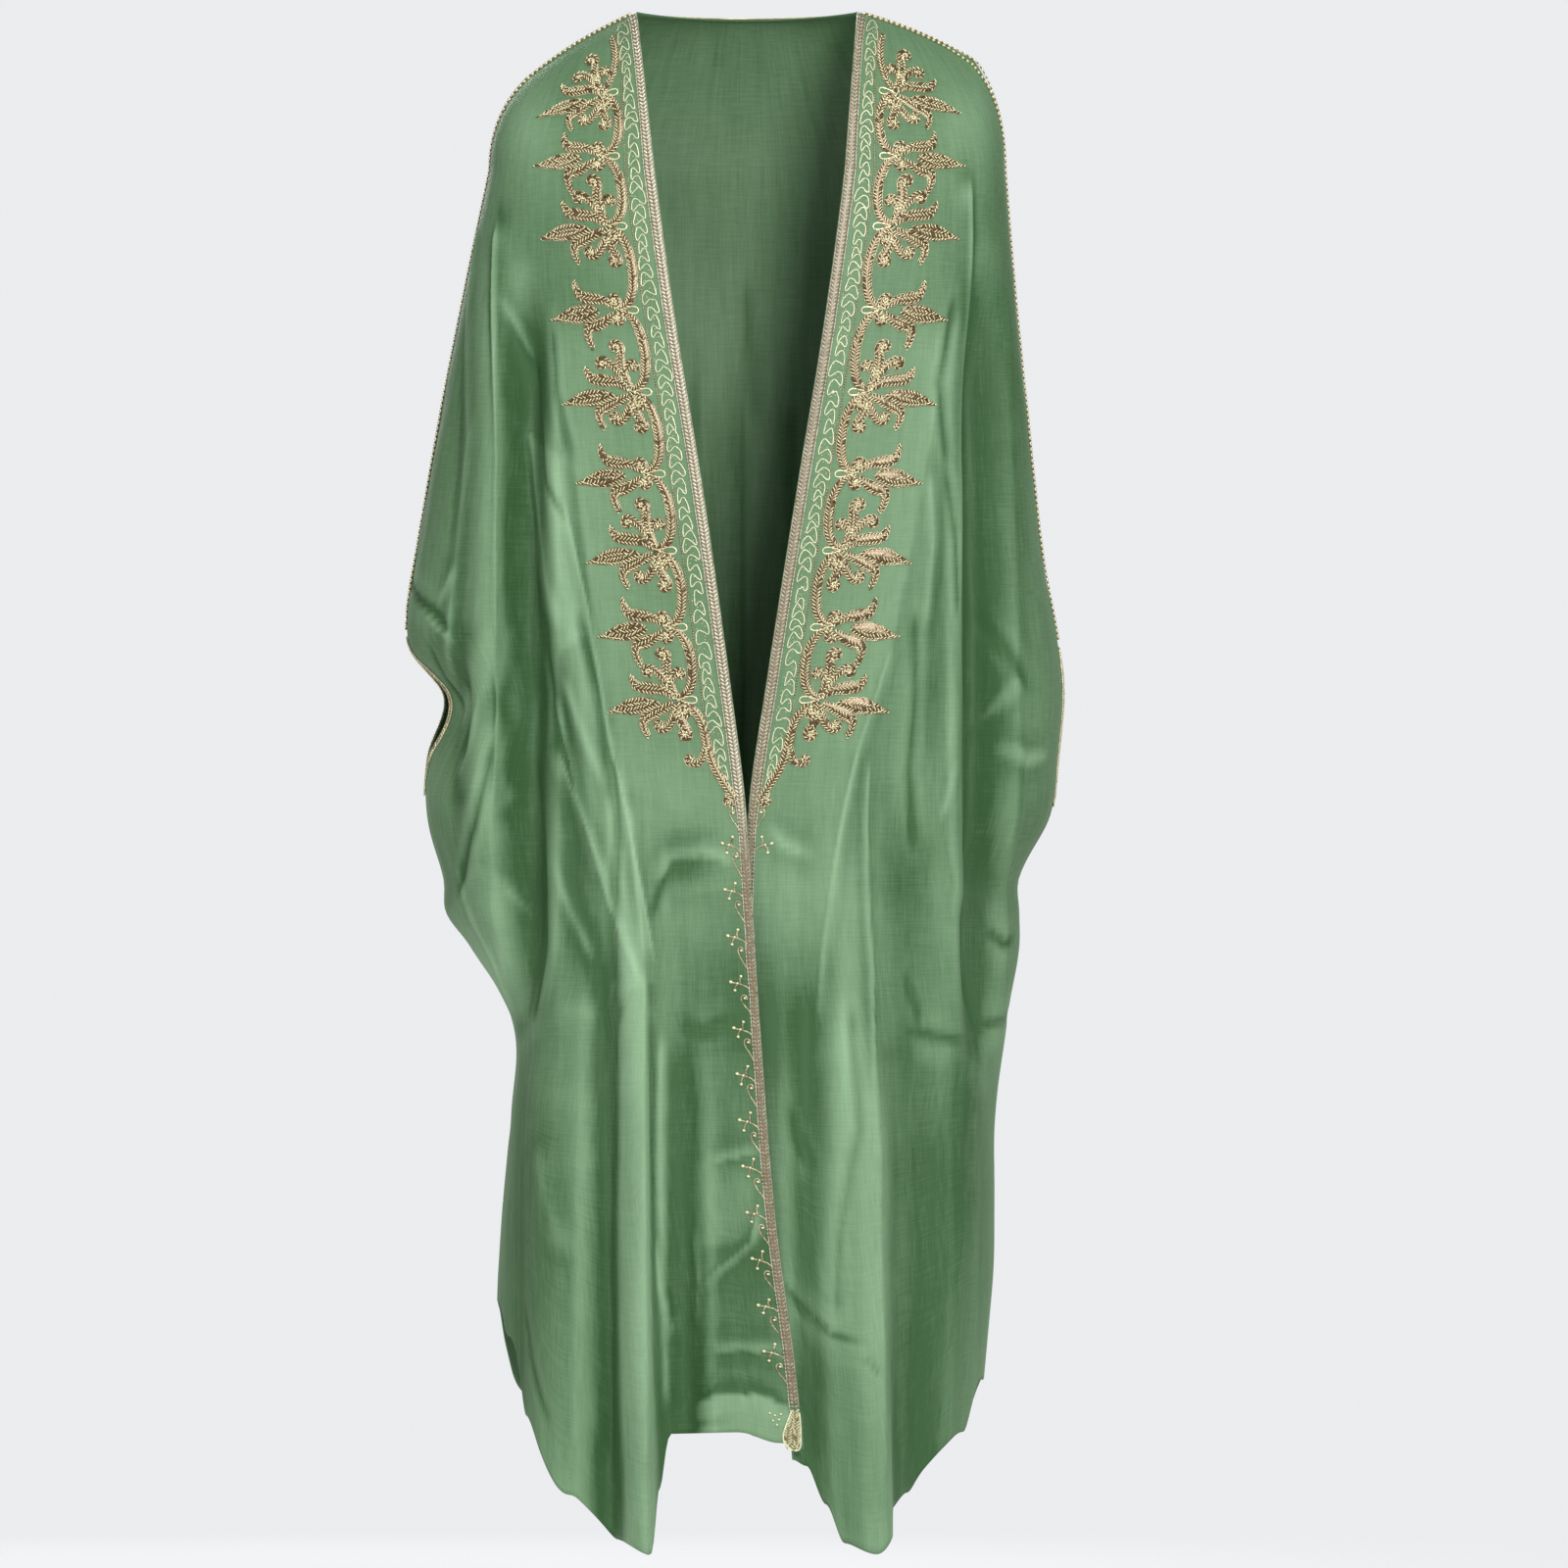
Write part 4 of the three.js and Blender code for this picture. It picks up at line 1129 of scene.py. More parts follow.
@dataclass(frozen=True)
class ToneFacet:
    """A facet of a front between creases, as (x, z) corners, painted lighter or darker than what lies round it, as
    painted light and painted shade for the way the facet is turned.
    """

    corners: tuple[tuple[float, float], ...]
    amount: float
    soft: float = 3.0

    def tone(self, points: np.ndarray) -> np.ndarray:
        """How much painted light each point has, below 0 for painted shade.

        Args:
            points: points of the cloth.

        Returns:
            A part of the painted light and shade for each point.
        """
        x, z = points[:, 0], points[:, 2]
        near, inside = np.full(len(x), 1e9), np.zeros(len(x), bool)
        for (a, b), (c, d) in zip(self.corners, self.corners[1:] + self.corners[:1]):
            u, v = c - a, d - b
            t = np.clip(((x - a) * u + (z - b) * v) / (u * u + v * v), 0, 1)
            near = np.minimum(near, np.hypot(x - a - t * u, z - b - t * v))
            inside ^= ((b > z) != (d > z)) & (x < a + (z - b) * u / (v or 1e-9))
        return self.amount * ease(np.where(inside, near, -near), -self.soft, self.soft)


# The tone paints shade and light by the folds: darker the deeper a place lies in a fold or crease, lighter the
# further it stands out on a crest
BASE_TONE = 0.25
FOLD_SHADE = {F: 0.010, B: 0.0045}  # how much lighter the cloth is for each millimetre that it stands out
DEEPEST = 34.0  # the most that a fold's depth counts, either way
CAVITY = 16.0  # how many times more the fine creases count than the large folds
CAVITY_REACH, CAVITY_MOST = 4, 1.6  # in the grid's own steps, and in millimetres
TOP_SHARE, HEM_SHARE = 0.1, 0.28  # the shares of a panel's rows over the shoulder and above the hem
# Painted light and shade along the fronts' creases and folds
SHADE_EDGES = [
    ToneEdge(R, ((-300, -186), (-361, -180), (-436, -161), (-560, -146), (-700, -132), (-860, -124)), 0.24, 2.5, 60),
    ToneEdge(R, ((-190, -234), (-420, -236), (-600, -237), (-790, -238)), -0.20, 2, 26),
    ToneEdge(R, ((-840, -128), (-1000, -130), (-1200, -131), (-1390, -131)), 0.10, 3, 30),
    ToneEdge(
        L, ((-300, 186), (-360, 181), (-520, 152), (-590, 138), (-690, 106), (-845, 76), (-960, 66)), 0.22, 3, 60
    ),
    ToneEdge(L, ((-940, 104), (-1100, 103), (-1240, 84), (-1280, 82)), 0.30, 8, 30),
    ToneEdge(L, ((-300, 208), (-600, 207), (-860, 212), (-1100, 218), (-1400, 216)), 0.14, 3, 18),
]
# Facets painted lighter or darker as painted light and shade
SHADE_FACETS = [
    ToneFacet(((-161, -581), (-113, -720), (-87, -914), (-113, -923), (-150, -757)), 0.12),
    ToneFacet(((-187, -636), (-150, -757), (-113, -914), (-150, -914), (-182, -775)), -0.08),
    ToneFacet(((-208, -396), (-172, -424), (-152, -590), (-176, -606), (-200, -520)), 0.26, 5.0),
    ToneFacet(((-120, -729), (-57, -757), (-67, -877), (-104, -914)), -0.04, 6.0),
    ToneFacet(((-282, -849), (-256, -803), (-201, -826), (-205, -951), (-219, -956)), 0.14, 4.0),
    ToneFacet(((-67, -835), (-2, -826), (3, -979), (-57, -988)), -0.12, 5.0),
    ToneFacet(((-57, -1080), (5, -1090), (5, -1140), (-20, -1175), (-50, -1195)), 0.10, 4.0),
    ToneFacet(((-57, -1164), (26, -1154), (42, -1300), (-20, -1297), (-60, -1312)), -0.16, 4.0),
    ToneFacet(((-70, -1318), (-20, -1300), (12, -1301), (52, -1322), (50, -1352), (-70, -1352)), 0.20, 3.0),
]
# Soft patches of painted light and painted shade on the cloth, where light falls on it and where folds shade it: x,
# z, half width, half height and amount
SEAM_SHADE_SPOTS = [  # beside the side seams, on the front and on the back
    (271, -692, 16, 50, 0.12), (-244, -920, 26, 60, 0.34), (280, -760, 26, 60, -0.08), (-298, -722, 14, 34, 0.16),
]
FACE_SHADE_SPOTS = {
    F: [
        (-70, -200, 60, 200, 0.10), (70, -200, 60, 200, 0.10), (-222, -560, 14, 160, -0.10),
        (-219, -650, 14, 60, 0.06), (-252, -300, 12, 240, 0.02), (212, -760, 9, 260, -0.44),
        (128, -868, 24, 60, 0.06), (246, -420, 20, 280, -0.24), (183, -451, 18, 120, 0.10),
        (-262, -420, 24, 260, -0.08), (-178, -1230, 42, 240, -0.22), (140, -1330, 50, 160, -0.12),
        (206, -480, 6, 300, -0.14), (-12, -1000, 50, 130, -0.20), (-10, -1190, 44, 70, -0.14),
        (-62, -1270, 11, 190, -0.30), (-100, -1170, 9, 260, 0.06), (-80, -1130, 7, 200, 0.22),
        (-106, -870, 18, 130, 0.20), (-46, -860, 34, 34, 0.16), (-60, -720, 30, 50, 0.10), (34, -830, 30, 60, 0.12),
        (30, -960, 24, 60, -0.20), (190, -1130, 26, 170, -0.28), (150, -1100, 22, 260, 0.10),
        (-165, -1050, 22, 190, 0.12), (-190, -1180, 30, 150, -0.10), (-8, -1288, 60, 9, -0.14),
        (-113, -1376, 40, 70, -0.12), (118, -1376, 44, 70, -0.12), (-178, -1053, 30, 90, -0.08),
        (26, -895, 22, 60, -0.14), (236, -960, 20, 60, 0.14), (-206, -112, 26, 46, 0.26), (208, -112, 26, 46, 0.26),
        (-216, -262, 12, 60, 0.24), (204, -270, 13, 50, -0.20), (-131, -696, 9, 44, -0.22),
        (-57, -800, 18, 26, -0.36), (-78, -1180, 10, 200, -0.10), (208, -690, 8, 60, -0.16),
        (-219, -645, 10, 40, 0.16), (-185, -1180, 26, 220, -0.10), (-24, -1290, 30, 60, -0.12),
        (62, -778, 40, 40, -0.08), (-99, -820, 26, 40, -0.10), (212, -684, 8, 50, -0.12),
        (-108, -1110, 8, 160, -0.10), (-130, -1110, 8, 160, 0.08), (-187, -548, 10, 40, 0.10),
        (-252, -405, 12, 60, -0.06), (-219, -640, 12, 60, 0.20), (204, -1000, 12, 60, -0.10),
    ],
    B: [
        (-60, -300, 90, 120, 0.10), (90, -700, 60, 260, -0.10), (-110, -1000, 50, 260, -0.12),
        (0, -1280, 200, 60, 0.14),
    ],
}


@dataclass
class ClothPanel:
    """One of the robe's three pieces of cloth, as a thin shell."""

    node: str
    face: Face
    low: float
    high: float
    columns: int
    rows: int
    flat: tuple[float, float]
    area: float
    form: RobeForm
    finish: bpy.types.Material

    def grid(self) -> bpy.types.Mesh:
        """Makes the panel's flat grid with its UV map and bends it onto the robe's form.

        Returns:
            The mesh.
        """
        bm = bmesh.new()
        bm.loops.layers.uv.new("flat")
        bmesh.ops.create_grid(bm, x_segments=self.columns, y_segments=self.rows, size=0.5, calc_uvs=True)
        mesh = bpy.data.meshes.new(self.node + "_cloth")
        bm.to_mesh(mesh)
        bm.free()
        flat = np.zeros(len(mesh.vertices) * 3)
        mesh.vertices.foreach_get("co", flat)
        flat = flat.reshape(-1, 3) + 0.5
        share = mix(self.low, self.high, flat[:, 0])
        row = self.row_at(1 - flat[:, 1])
        points, depth = np.zeros_like(flat), np.zeros(len(flat))
        for side in Side:
            here = (share < 0) == (side is R) if self.face is B else np.full(len(share), side is self.side())
            if here.any():
                points[here] = self.form.points(side, self.face, np.abs(share[here]), row[here])
                depth[here] = self.form.depth(side, self.face, np.abs(share[here]), row[here])
        mesh.vertices.foreach_set("co", (points * MM).ravel())
        uvs = np.zeros(len(mesh.loops) * 2)
        mesh.uv_layers[0].data.foreach_get("uv", uvs)
        uvs = uvs.reshape(-1, 2) * np.array(self.flat)
        mesh.uv_layers[0].data.foreach_set("uv", uvs.ravel())
        # The attribute carries painted light and shade from the folds' depth and from the crests and creases round
        # each point
        tone = mesh.attributes.new("tone", "FLOAT", "POINT")
        tone.data.foreach_set("value", self.tones(points, depth + CAVITY * self.cavity(depth)))
        mesh.update()
        return mesh

    def side(self) -> Side:
        """The side of a front panel."""
        return R if self.high <= 0 else L

    def row_at(self, share: np.ndarray) -> np.ndarray:
        """Turns an even share of the way down the grid into a panel row."""
        return np.interp(share, [0, TOP_SHARE, 1 - HEM_SHARE, 1], [0, 1, 2, 3])

    def cavity(self, depth: np.ndarray) -> np.ndarray:
        """How far each point stands over the cloth round it, for painted light on crests and painted shade in
        creases.

        Args:
            depth: how far the folds push each point out.

        Returns:
            Millimetres for each point.
        """
        table = depth.reshape(self.rows + 1, self.columns + 1)
        near = np.pad(table, CAVITY_REACH, mode="edge")
        size = range(2 * CAVITY_REACH + 1)
        mean = sum(near[i : i + table.shape[0], j : j + table.shape[1]] for i in size for j in size) / len(size) ** 2
        return np.clip(table - mean, -CAVITY_MOST, CAVITY_MOST).ravel()

    def tones(self, points: np.ndarray, depth: np.ndarray) -> np.ndarray:
        """The cloth's lightness at each point, with painted shade down in the folds and creases and painted light on
        their crests and patches.

        Args:
            points: points of the cloth.
            depth: how far out each counts as being.

        Returns:
            Tones from 0 to 1.
        """
        tone = BASE_TONE + FOLD_SHADE[self.face] * np.clip(depth, -DEEPEST, DEEPEST)
        for x, z, wide, high, amount in SEAM_SHADE_SPOTS + FACE_SHADE_SPOTS[self.face]:
            far = ((points[:, 0] - x) / wide) ** 2 + ((points[:, 2] - z) / high) ** 2
            tone += amount * np.exp(-far)
        if self.face is F:
            for patch in SHADE_FACETS + [edge for edge in SHADE_EDGES if edge.side is self.side()]:
                tone += patch.tone(points)
        return np.clip(tone, 0, 1)

    def outward(self, mesh: bpy.types.Mesh) -> bool:
        """Says whether the faces point out of the robe."""
        middle = mesh.polygons[len(mesh.polygons) // 2 + self.columns // 2]
        return middle.normal.y * (-1 if self.face is F else 1) > 0

    def build(self) -> bpy.types.Object:
        """Makes the piece, gives the cloth its thickness and puts it in the frame.

        Returns:
            The piece.
        """
        piece = add_object(self.node + "_cloth", self.grid())
        shell = piece.modifiers.new("thickness", "SOLIDIFY")
        shell.thickness = CLOTH * MM
        shell.offset = -1.0 if self.outward(piece.data) else 1.0
        piece.data.materials.append(self.finish)
        piece.data.polygons.foreach_set("use_smooth", [True] * len(piece.data.polygons))
        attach(piece, "root")
        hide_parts(self.node)
        LOG.info("%s: %d faces", piece.name, len(piece.data.polygons))
        return piece


# Thread work


@dataclass(frozen=True)
class Template:
    """One mesh that an operator made, kept as arrays so that it can be copied many times."""

    places: np.ndarray
    corners: np.ndarray
    sizes: np.ndarray

    @classmethod
    def of(cls, make: Callable[[bmesh.types.BMesh], None]) -> "Template":
        """Runs an operator and keeps what it made.

        Args:
            make: the operator's call on a new bmesh.

        Returns:
            The template.
        """
        bm = bmesh.new()
        make(bm)
        bm.verts.index_update()
        places = np.array([vert.co[:] for vert in bm.verts])
        corners = np.array([vert.index for face in bm.faces for vert in face.verts])
        sizes = np.array([len(face.verts) for face in bm.faces])
        bm.free()
        return cls(places, corners, sizes)

    @classmethod
    def bead(cls) -> "Template":
        """A small long ball, with its length along x.

        Returns:
            The template.
        """
        return cls.of(
            lambda bm: bmesh.ops.create_uvsphere(
                bm, u_segments=4, v_segments=3, radius=1.0, matrix=Matrix.Rotation(math.pi / 2, 4, "Y")
            )
        )

    @classmethod
    def strip(cls, long: int, wide: int) -> "Template":
        """A flat grid from 0 to 1 both ways."""
        made = cls.of(lambda bm: bmesh.ops.create_grid(bm, x_segments=long, y_segments=wide, size=0.5))
        return cls(made.places + 0.5, made.corners, made.sizes)


@dataclass
class Chart:
    """A front's surface as a table of points and outward directions, by distance from its free edge and height."""

    form: RobeForm
    side: Side
    wide: float = 150.0
    across: float = 1.5
    downward: float = 2.5

    def __post_init__(self) -> None:
        """Fills the table."""
        distance, z = np.meshgrid(np.arange(0, self.wide, self.across), np.arange(0, LOWEST, -self.downward))
        far, row = self.form.front_place(self.side, distance, z)
        self.points = self.form.points(self.side, F, far, row)
        along, around = np.gradient(self.points, axis=(0, 1))
        self.outward = unit(np.cross(around, -along) * self.side.value)

    def place(self, distance: Reals, z: Reals, lift: Reals = 0.0) -> tuple[np.ndarray, np.ndarray]:
        """Points over the cloth and the directions out of it.

        Args:
            distance: distances from the free edge.
            z: heights.
            lift: how far over the cloth the points are.

        Returns:
            The points and the directions.
        """
        distance, z, lift = np.broadcast_arrays(distance, z, lift)
        i = np.clip(-z / self.downward, 0, self.points.shape[0] - INSIDE)
        j = np.clip(distance / self.across, 0, self.points.shape[1] - INSIDE)
        i0, j0 = i.astype(int), j.astype(int)
        u, v = (i - i0)[..., None], (j - j0)[..., None]
        point, out = (
            mix(mix(t[i0, j0], t[i0, j0 + 1], v), mix(t[i0 + 1, j0], t[i0 + 1, j0 + 1], v), u)
            for t in (self.points, self.outward)
        )
        out = unit(out)
        return point + out * lift[..., None], out


AIM = 1.5  # how far ahead and behind a line is read for its direction


@dataclass
class Line:
    """A chart that is a strip round a line in space, such as a seam, with its middle at distance 0."""

    points: np.ndarray
    outward: np.ndarray

    @classmethod
    def over(cls, form: RobeForm, side: Side, face: Face, far: Reals, row: Reals) -> "Line":
        """Makes a line through places of a panel."""
        far, row = np.broadcast_arrays(np.asarray(far, float), np.asarray(row, float))
        return cls(form.points(side, face, far, row), form.facing(side, face, far, row))

    def __post_init__(self) -> None:
        """Measures the line."""
        steps = np.linalg.norm(np.diff(self.points, axis=0), axis=1)
        self.along = np.concatenate([[0], np.cumsum(steps)])
        self.length = float(self.along[-1])

    def read(self, table: np.ndarray, at: np.ndarray) -> np.ndarray:
        """The values of a table of three columns at distances along the line."""
        return np.stack([np.interp(at, self.along, column) for column in table.T], axis=-1)

    def place(self, distance: Reals, z: Reals, lift: Reals = 0.0) -> tuple[np.ndarray, np.ndarray]:
        """Points over the strip; z is less than 0 and runs down the line.

        Args:
            distance: distances to one side of the line.
            z: distances down the line, below 0.
            lift: how far over the cloth the points are.

        Returns:
            The points and the directions out of the cloth.
        """
        distance, z, lift = np.broadcast_arrays(distance, z, lift)
        point, out = self.read(self.points, -z), self.read(self.outward, -z)
        way = unit(self.read(self.points, AIM - z) - self.read(self.points, -AIM - z))
        out = unit(out - way * (out * way).sum(axis=-1, keepdims=True))
        across = np.cross(way, out)
        return point + across * distance[..., None] + out * lift[..., None], out


CURVE_STEPS = 14  # samples from one point to the next


def resample(points: np.ndarray, step: float) -> np.ndarray:
    """A smooth curve through points, sampled about evenly.

    Args:
        points: rows of values, of which the first two are the place.
        step: the distance between samples.

    Returns:
        Rows of the same values.
    """
    points = np.asarray(points, float)
    ends = np.vstack([2 * points[0] - points[1], points, 2 * points[-1] - points[-2]])
    t = np.linspace(0, 1, CURVE_STEPS, endpoint=False)[:, None]
    rows = [
        0.5 * (2 * b + (c - a) * t + (2 * a - 5 * b + 4 * c - d) * t**2 + (3 * b - a - 3 * c + d) * t**3)
        for a, b, c, d in zip(ends, ends[1:], ends[2:], ends[3:])
    ]
    fine = np.vstack(rows + [points[-1:]])
    along = np.concatenate([[0], np.cumsum(np.linalg.norm(np.diff(fine[:, :2], axis=0), axis=1))])
    stops = np.linspace(0, along[-1], max(2, round(along[-1] / step) + 1))
    return np.stack([np.interp(stops, along, fine[:, k]) for k in range(fine.shape[1])], axis=-1)


RIBBON_LIFT = 0.25
STITCH_AIM = 0.8  # how far ahead of a stitch the cloth is read for its direction
# Fillings paint most stitches bright, as painted glints, with a few dark ones as painted shade in the gaps
DARK_STITCHES = 0.06  # the share of a filling's stitches that show as dark gaps


@dataclass
class Needle:
    """Works stitches, cords and ribbons over a chart and gathers them into one mesh."""

    name: str
    chart: Chart | Line
    seed: int
    places: list[np.ndarray] = field(default_factory=list)
    corners: list[np.ndarray] = field(default_factory=list)
    sizes: list[np.ndarray] = field(default_factory=list)
    shades: list[np.ndarray] = field(default_factory=list)
    count: int = 0

    def __post_init__(self) -> None:
        """Starts the random numbers and keeps one stitch."""
        self.random = np.random.default_rng(self.seed)
        self.bead = Template.bead()

    def _keep(self, template: Template, places: np.ndarray, shades: np.ndarray) -> None:
        """Adds copies of a template.

        Args:
            template: the mesh that is copied.
            places: the points of every copy.
            shades: the shade of every copy or of every point.
        """
        copies, size = places.shape[:2]
        starts = self.count + np.arange(copies)[:, None] * size
        self.places.append(places.reshape(-1, 3))
        self.corners.append((template.corners[None, :] + starts).ravel())
        self.sizes.append(np.tile(template.sizes, copies))
        self.shades.append(np.broadcast_to(shades, (copies, size)).ravel())
        self.count += copies * size

    def stitches(
        self, distance: Reals, z: Reals, turn: Reals, long: Reals, wide: Reals, high: Reals, lift: Reals, shade: Reals
    ) -> None:
        """Lays stitches.

        Args:
            distance: distances of their middles.
            z: heights of their middles.
            turn: the way each runs, in radians from straight out.
            long: their lengths.
            wide: their widths.
            high: their heights.
            lift: how far their middles are over the cloth.
            shade: their shades.
        """
        distance, z, turn, long, wide, high, lift = np.broadcast_arrays(distance, z, turn, long, wide, high, lift)
        middle, out = self.chart.place(distance, z, lift)
        ahead = self.chart.place(distance + STITCH_AIM * np.cos(turn), z + STITCH_AIM * np.sin(turn), lift)[0]
        way = unit(ahead - middle)
        places = middle[:, None, :]
        for local, axis, size in zip(self.bead.places.T / 2, (way, np.cross(out, way), out), (long, wide, high)):
            places = places + local[:, None] * (axis * size[:, None])[:, None, :]
        self._keep(self.bead, places, np.asarray(shade).reshape(-1, 1))

    def cord(
        self, line: np.ndarray, radius: float, lift: float, shade: float, step: float = 2.2, sides: int = 4
    ) -> None:
        """Lays a round cord along a line of (distance, z) rows.

        Args:
            line: the rows.
            radius: the cord's radius.
            lift: how far over the cloth its middle is.
            shade: its shade.
            step: the length of a segment.
            sides: how many sides it has.
        """
        line = resample(line, step)
        template = Template.strip(len(line) - 1, sides)
        along = np.rint(template.places[:, 0] * (len(line) - 1)).astype(int)
        middle, out = self.chart.place(line[:, 0], line[:, 1], lift)
        way = unit(np.gradient(middle, axis=0))
        across = np.cross(out, way)
        turn = template.places[:, 1] * TAU
        ring = np.cos(turn)[:, None] * across[along] + np.sin(turn)[:, None] * out[along]
        shades = np.clip(shade + self.random.normal(0, 0.12, len(line))[along], 0, 1)
        self._keep(template, (middle[along] + ring * radius)[None], shades[None])

    def ribbon(self, line: np.ndarray, crown: float, shade: float, step: float = 2.5) -> None:
        """Lays a low rounded ribbon along a line of (distance, z, width) rows.

        Args:
            line: the rows.
            crown: its height in the middle.
            shade: its shade.
            step: the length of a segment.
        """
        line = resample(line, step)
        template = Template.strip(len(line) - 1, 4)
        along = np.rint(template.places[:, 0] * (len(line) - 1)).astype(int)
        way = unit(np.gradient(line[:, :2], axis=0))
        v = template.places[:, 1] * 2 - 1
        offset = v * line[along, 2] / 2
        lift = RIBBON_LIFT + crown * (1 - v**2)
        places = self.chart.place(
            line[along, 0] - way[along, 1] * offset, line[along, 1] + way[along, 0] * offset, lift
        )[0]
        self._keep(template, places[None], np.full((1, len(places)), shade))

    def filling(self, line: np.ndarray, crown: float, pitch: float, slant: float, row: float) -> None:
        """Fills a ribbon with short slanting stitches in rows whose slant changes from row to row.

        Args:
            line: rows of (distance, z, width).
            crown: the ribbon's own height.
            pitch: the distance between stitches along a row.
            slant: how far a stitch turns off the ribbon's way, in radians.
            row: the width of one row.
        """
        line = resample(line, pitch)
        way = unit(np.gradient(line[:, :2], axis=0))
        heading = np.arctan2(way[:, 1], way[:, 0])
        rows = np.maximum(1, np.rint(line[:, 2] / row)).astype(int)
        for k in range(int(rows.max())):
            here = rows > k
            count = rows[here]
            wide = line[here, 2] / count
            total = len(count)
            offset = (k + 0.5) * wide - line[here, 2] / 2 + self.random.normal(0, 0.12, total)
            shift = self.random.normal(0, 0.15, total) + (pitch / 2 if k % 2 else 0)
            turned = -slant if k % 2 else slant
            # Most stitches are near the bright end as painted glints, and a few are dark as painted shade
            self.stitches(
                line[here, 0] - way[here, 1] * offset + way[here, 0] * shift,
                line[here, 1] + way[here, 0] * offset + way[here, 1] * shift,
                heading[here] + turned + self.random.normal(0, 0.1, total),
                np.maximum(wide / math.sin(slant), 2.0),
                wide=1.3,
                high=2.1,
                shade=np.where(
                    self.random.random(total) < DARK_STITCHES, 0.1, 0.82 + 0.18 * self.random.random(total)
                ),
                lift=0.5 + crown * (1 - np.clip(2 * offset / line[here, 2], -1, 1) ** 2),
            )

    def build(self, finish: bpy.types.Material, replaced: str | None) -> bpy.types.Object:
        """Makes the gathered work one piece and puts it in the frame.

        Args:
            finish: its material.
            replaced: the CAD node that it stands for, or None.

        Returns:
            The piece.
        """
        mesh = bpy.data.meshes.new(self.name)
        places, corners, sizes = (np.concatenate(part) for part in (self.places, self.corners, self.sizes))
        mesh.vertices.add(len(places))
        mesh.vertices.foreach_set("co", (places * MM).ravel())
        mesh.loops.add(len(corners))
        mesh.loops.foreach_set("vertex_index", corners)
        mesh.polygons.add(len(sizes))
        mesh.polygons.foreach_set("loop_start", np.concatenate([[0], np.cumsum(sizes)[:-1]]))
        mesh.polygons.foreach_set("use_smooth", np.ones(len(sizes), bool))
        mesh.update(calc_edges=True)
        mesh.attributes.new("shade", "FLOAT", "POINT").data.foreach_set("value", np.concatenate(self.shades))
        mesh.materials.append(finish)
        piece = add_object(self.name, mesh)
        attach(piece, "root")
        if replaced:
            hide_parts(replaced)
        LOG.info("%s: %d triangles", self.name, int((sizes - 2).sum()))
        return piece


@dataclass(frozen=True)
class Stroke:
    """One embroidered shape of a motif, as (out, up, width) rows from the motif's centre.

    curl winds its end into a round, one way or the other.
    """

    rows: tuple[tuple[float, float, float], ...]
    curl: float = 0.0

    def line(self, distance: float, z: float) -> np.ndarray:
        """The stroke's rows about a centre, with the wound end.

        Args:
            distance: the centre's distance.
            z: the centre's height.

        Returns:
            The rows.
        """
        rows = [(distance + a, z + b, w) for a, b, w in self.rows]
        if self.curl:
            (x0, y0, _), (x1, y1, width) = rows[-2:]
            heading = math.atan2(y1 - y0, x1 - x0)
            side = math.copysign(1, self.curl)
            size = abs(self.curl)
            cx, cy = x1 - side * math.sin(heading) * size, y1 + side * math.cos(heading) * size
            start = heading - side * math.pi / 2
            for k in range(1, 8):
                turn, reach = start + side * k * math.pi / 4.2, size * (1 - 0.085 * k)
                rows.append((cx + math.cos(turn) * reach, cy + math.sin(turn) * reach, width * (1 - 0.05 * k)))
        return np.array(rows)


# The two kinds of lily, which take turns down the vine, and the vine's end
CURLED = [
    Stroke(((3, 3, 6), (13, 9, 8.5), (26, 11, 11), (36, 13, 9), (41, 22, 4))),
    Stroke(((18, -3, 4), (28, -4, 11), (41, -6, 14.5), (52, -8, 10), (60, -10, 5), (67, -12, 2))),
    Stroke(((3, -4, 6), (14, -8, 8.5), (25, -13, 11), (33, -18, 9), (35, -26, 6), (32, -34, 5))),
    Stroke(((1, 3, 7), (5, 14, 9), (6.5, 26, 8.5), (5, 36, 8), (4, 41, 7.5)), curl=-5.0),
    Stroke(((6, 14, 7), (12, 22, 7.5), (18, 28, 7), (22, 30, 7)), curl=-4.4),
    Stroke(((5, 16, 6.5), (1, 22, 6.5), (-2, 26, 6.5)), curl=4.0),
    Stroke(((1, -4, 7), (1, -13, 9), (-2, -23, 8.5), (-6, -30, 7.5)), curl=4.6),
    Stroke(((3, -12, 7), (8, -20, 7.5), (13, -26, 7), (17, -28, 7)), curl=4.4),
    Stroke(((1, -13, 6.5), (-4, -15, 6.5), (-7, -14, 6.5)), curl=-4.0),
]
BUDDED = [
    Stroke(((3, 3, 6), (14, 9, 8), (26, 11, 11), (34, 13, 9.5), (38, 20, 6), (39, 27, 3))),
    Stroke(((20, -1, 5), (27, -2, 12), (38, -4, 16), (49, -6, 12), (59, -8, 5), (66, -9, 2))),
    Stroke(((4, -4, 6), (12, -9, 8), (23, -14, 11), (31, -17, 9), (33, -26, 6.5), (30, -35, 5.5))),
    Stroke(((0, 2, 6), (0, 9, 7)), curl=-4.2),
    Stroke(((0, -2, 6), (-1, -8, 7)), curl=4.2),
]


TAIL = [
    Stroke(
        ((0, -2, 5), (-12, -8, 7), (-20, -22, 8), (-22, -42, 8), (-25, -60, 7.5), (-33, -78, 7), (-41, -92, 6.5)),
        curl=5.0,
    ),
    Stroke(((-21, -44, 6), (-14, -58, 6), (-6, -60, 6)), curl=4.0),
]


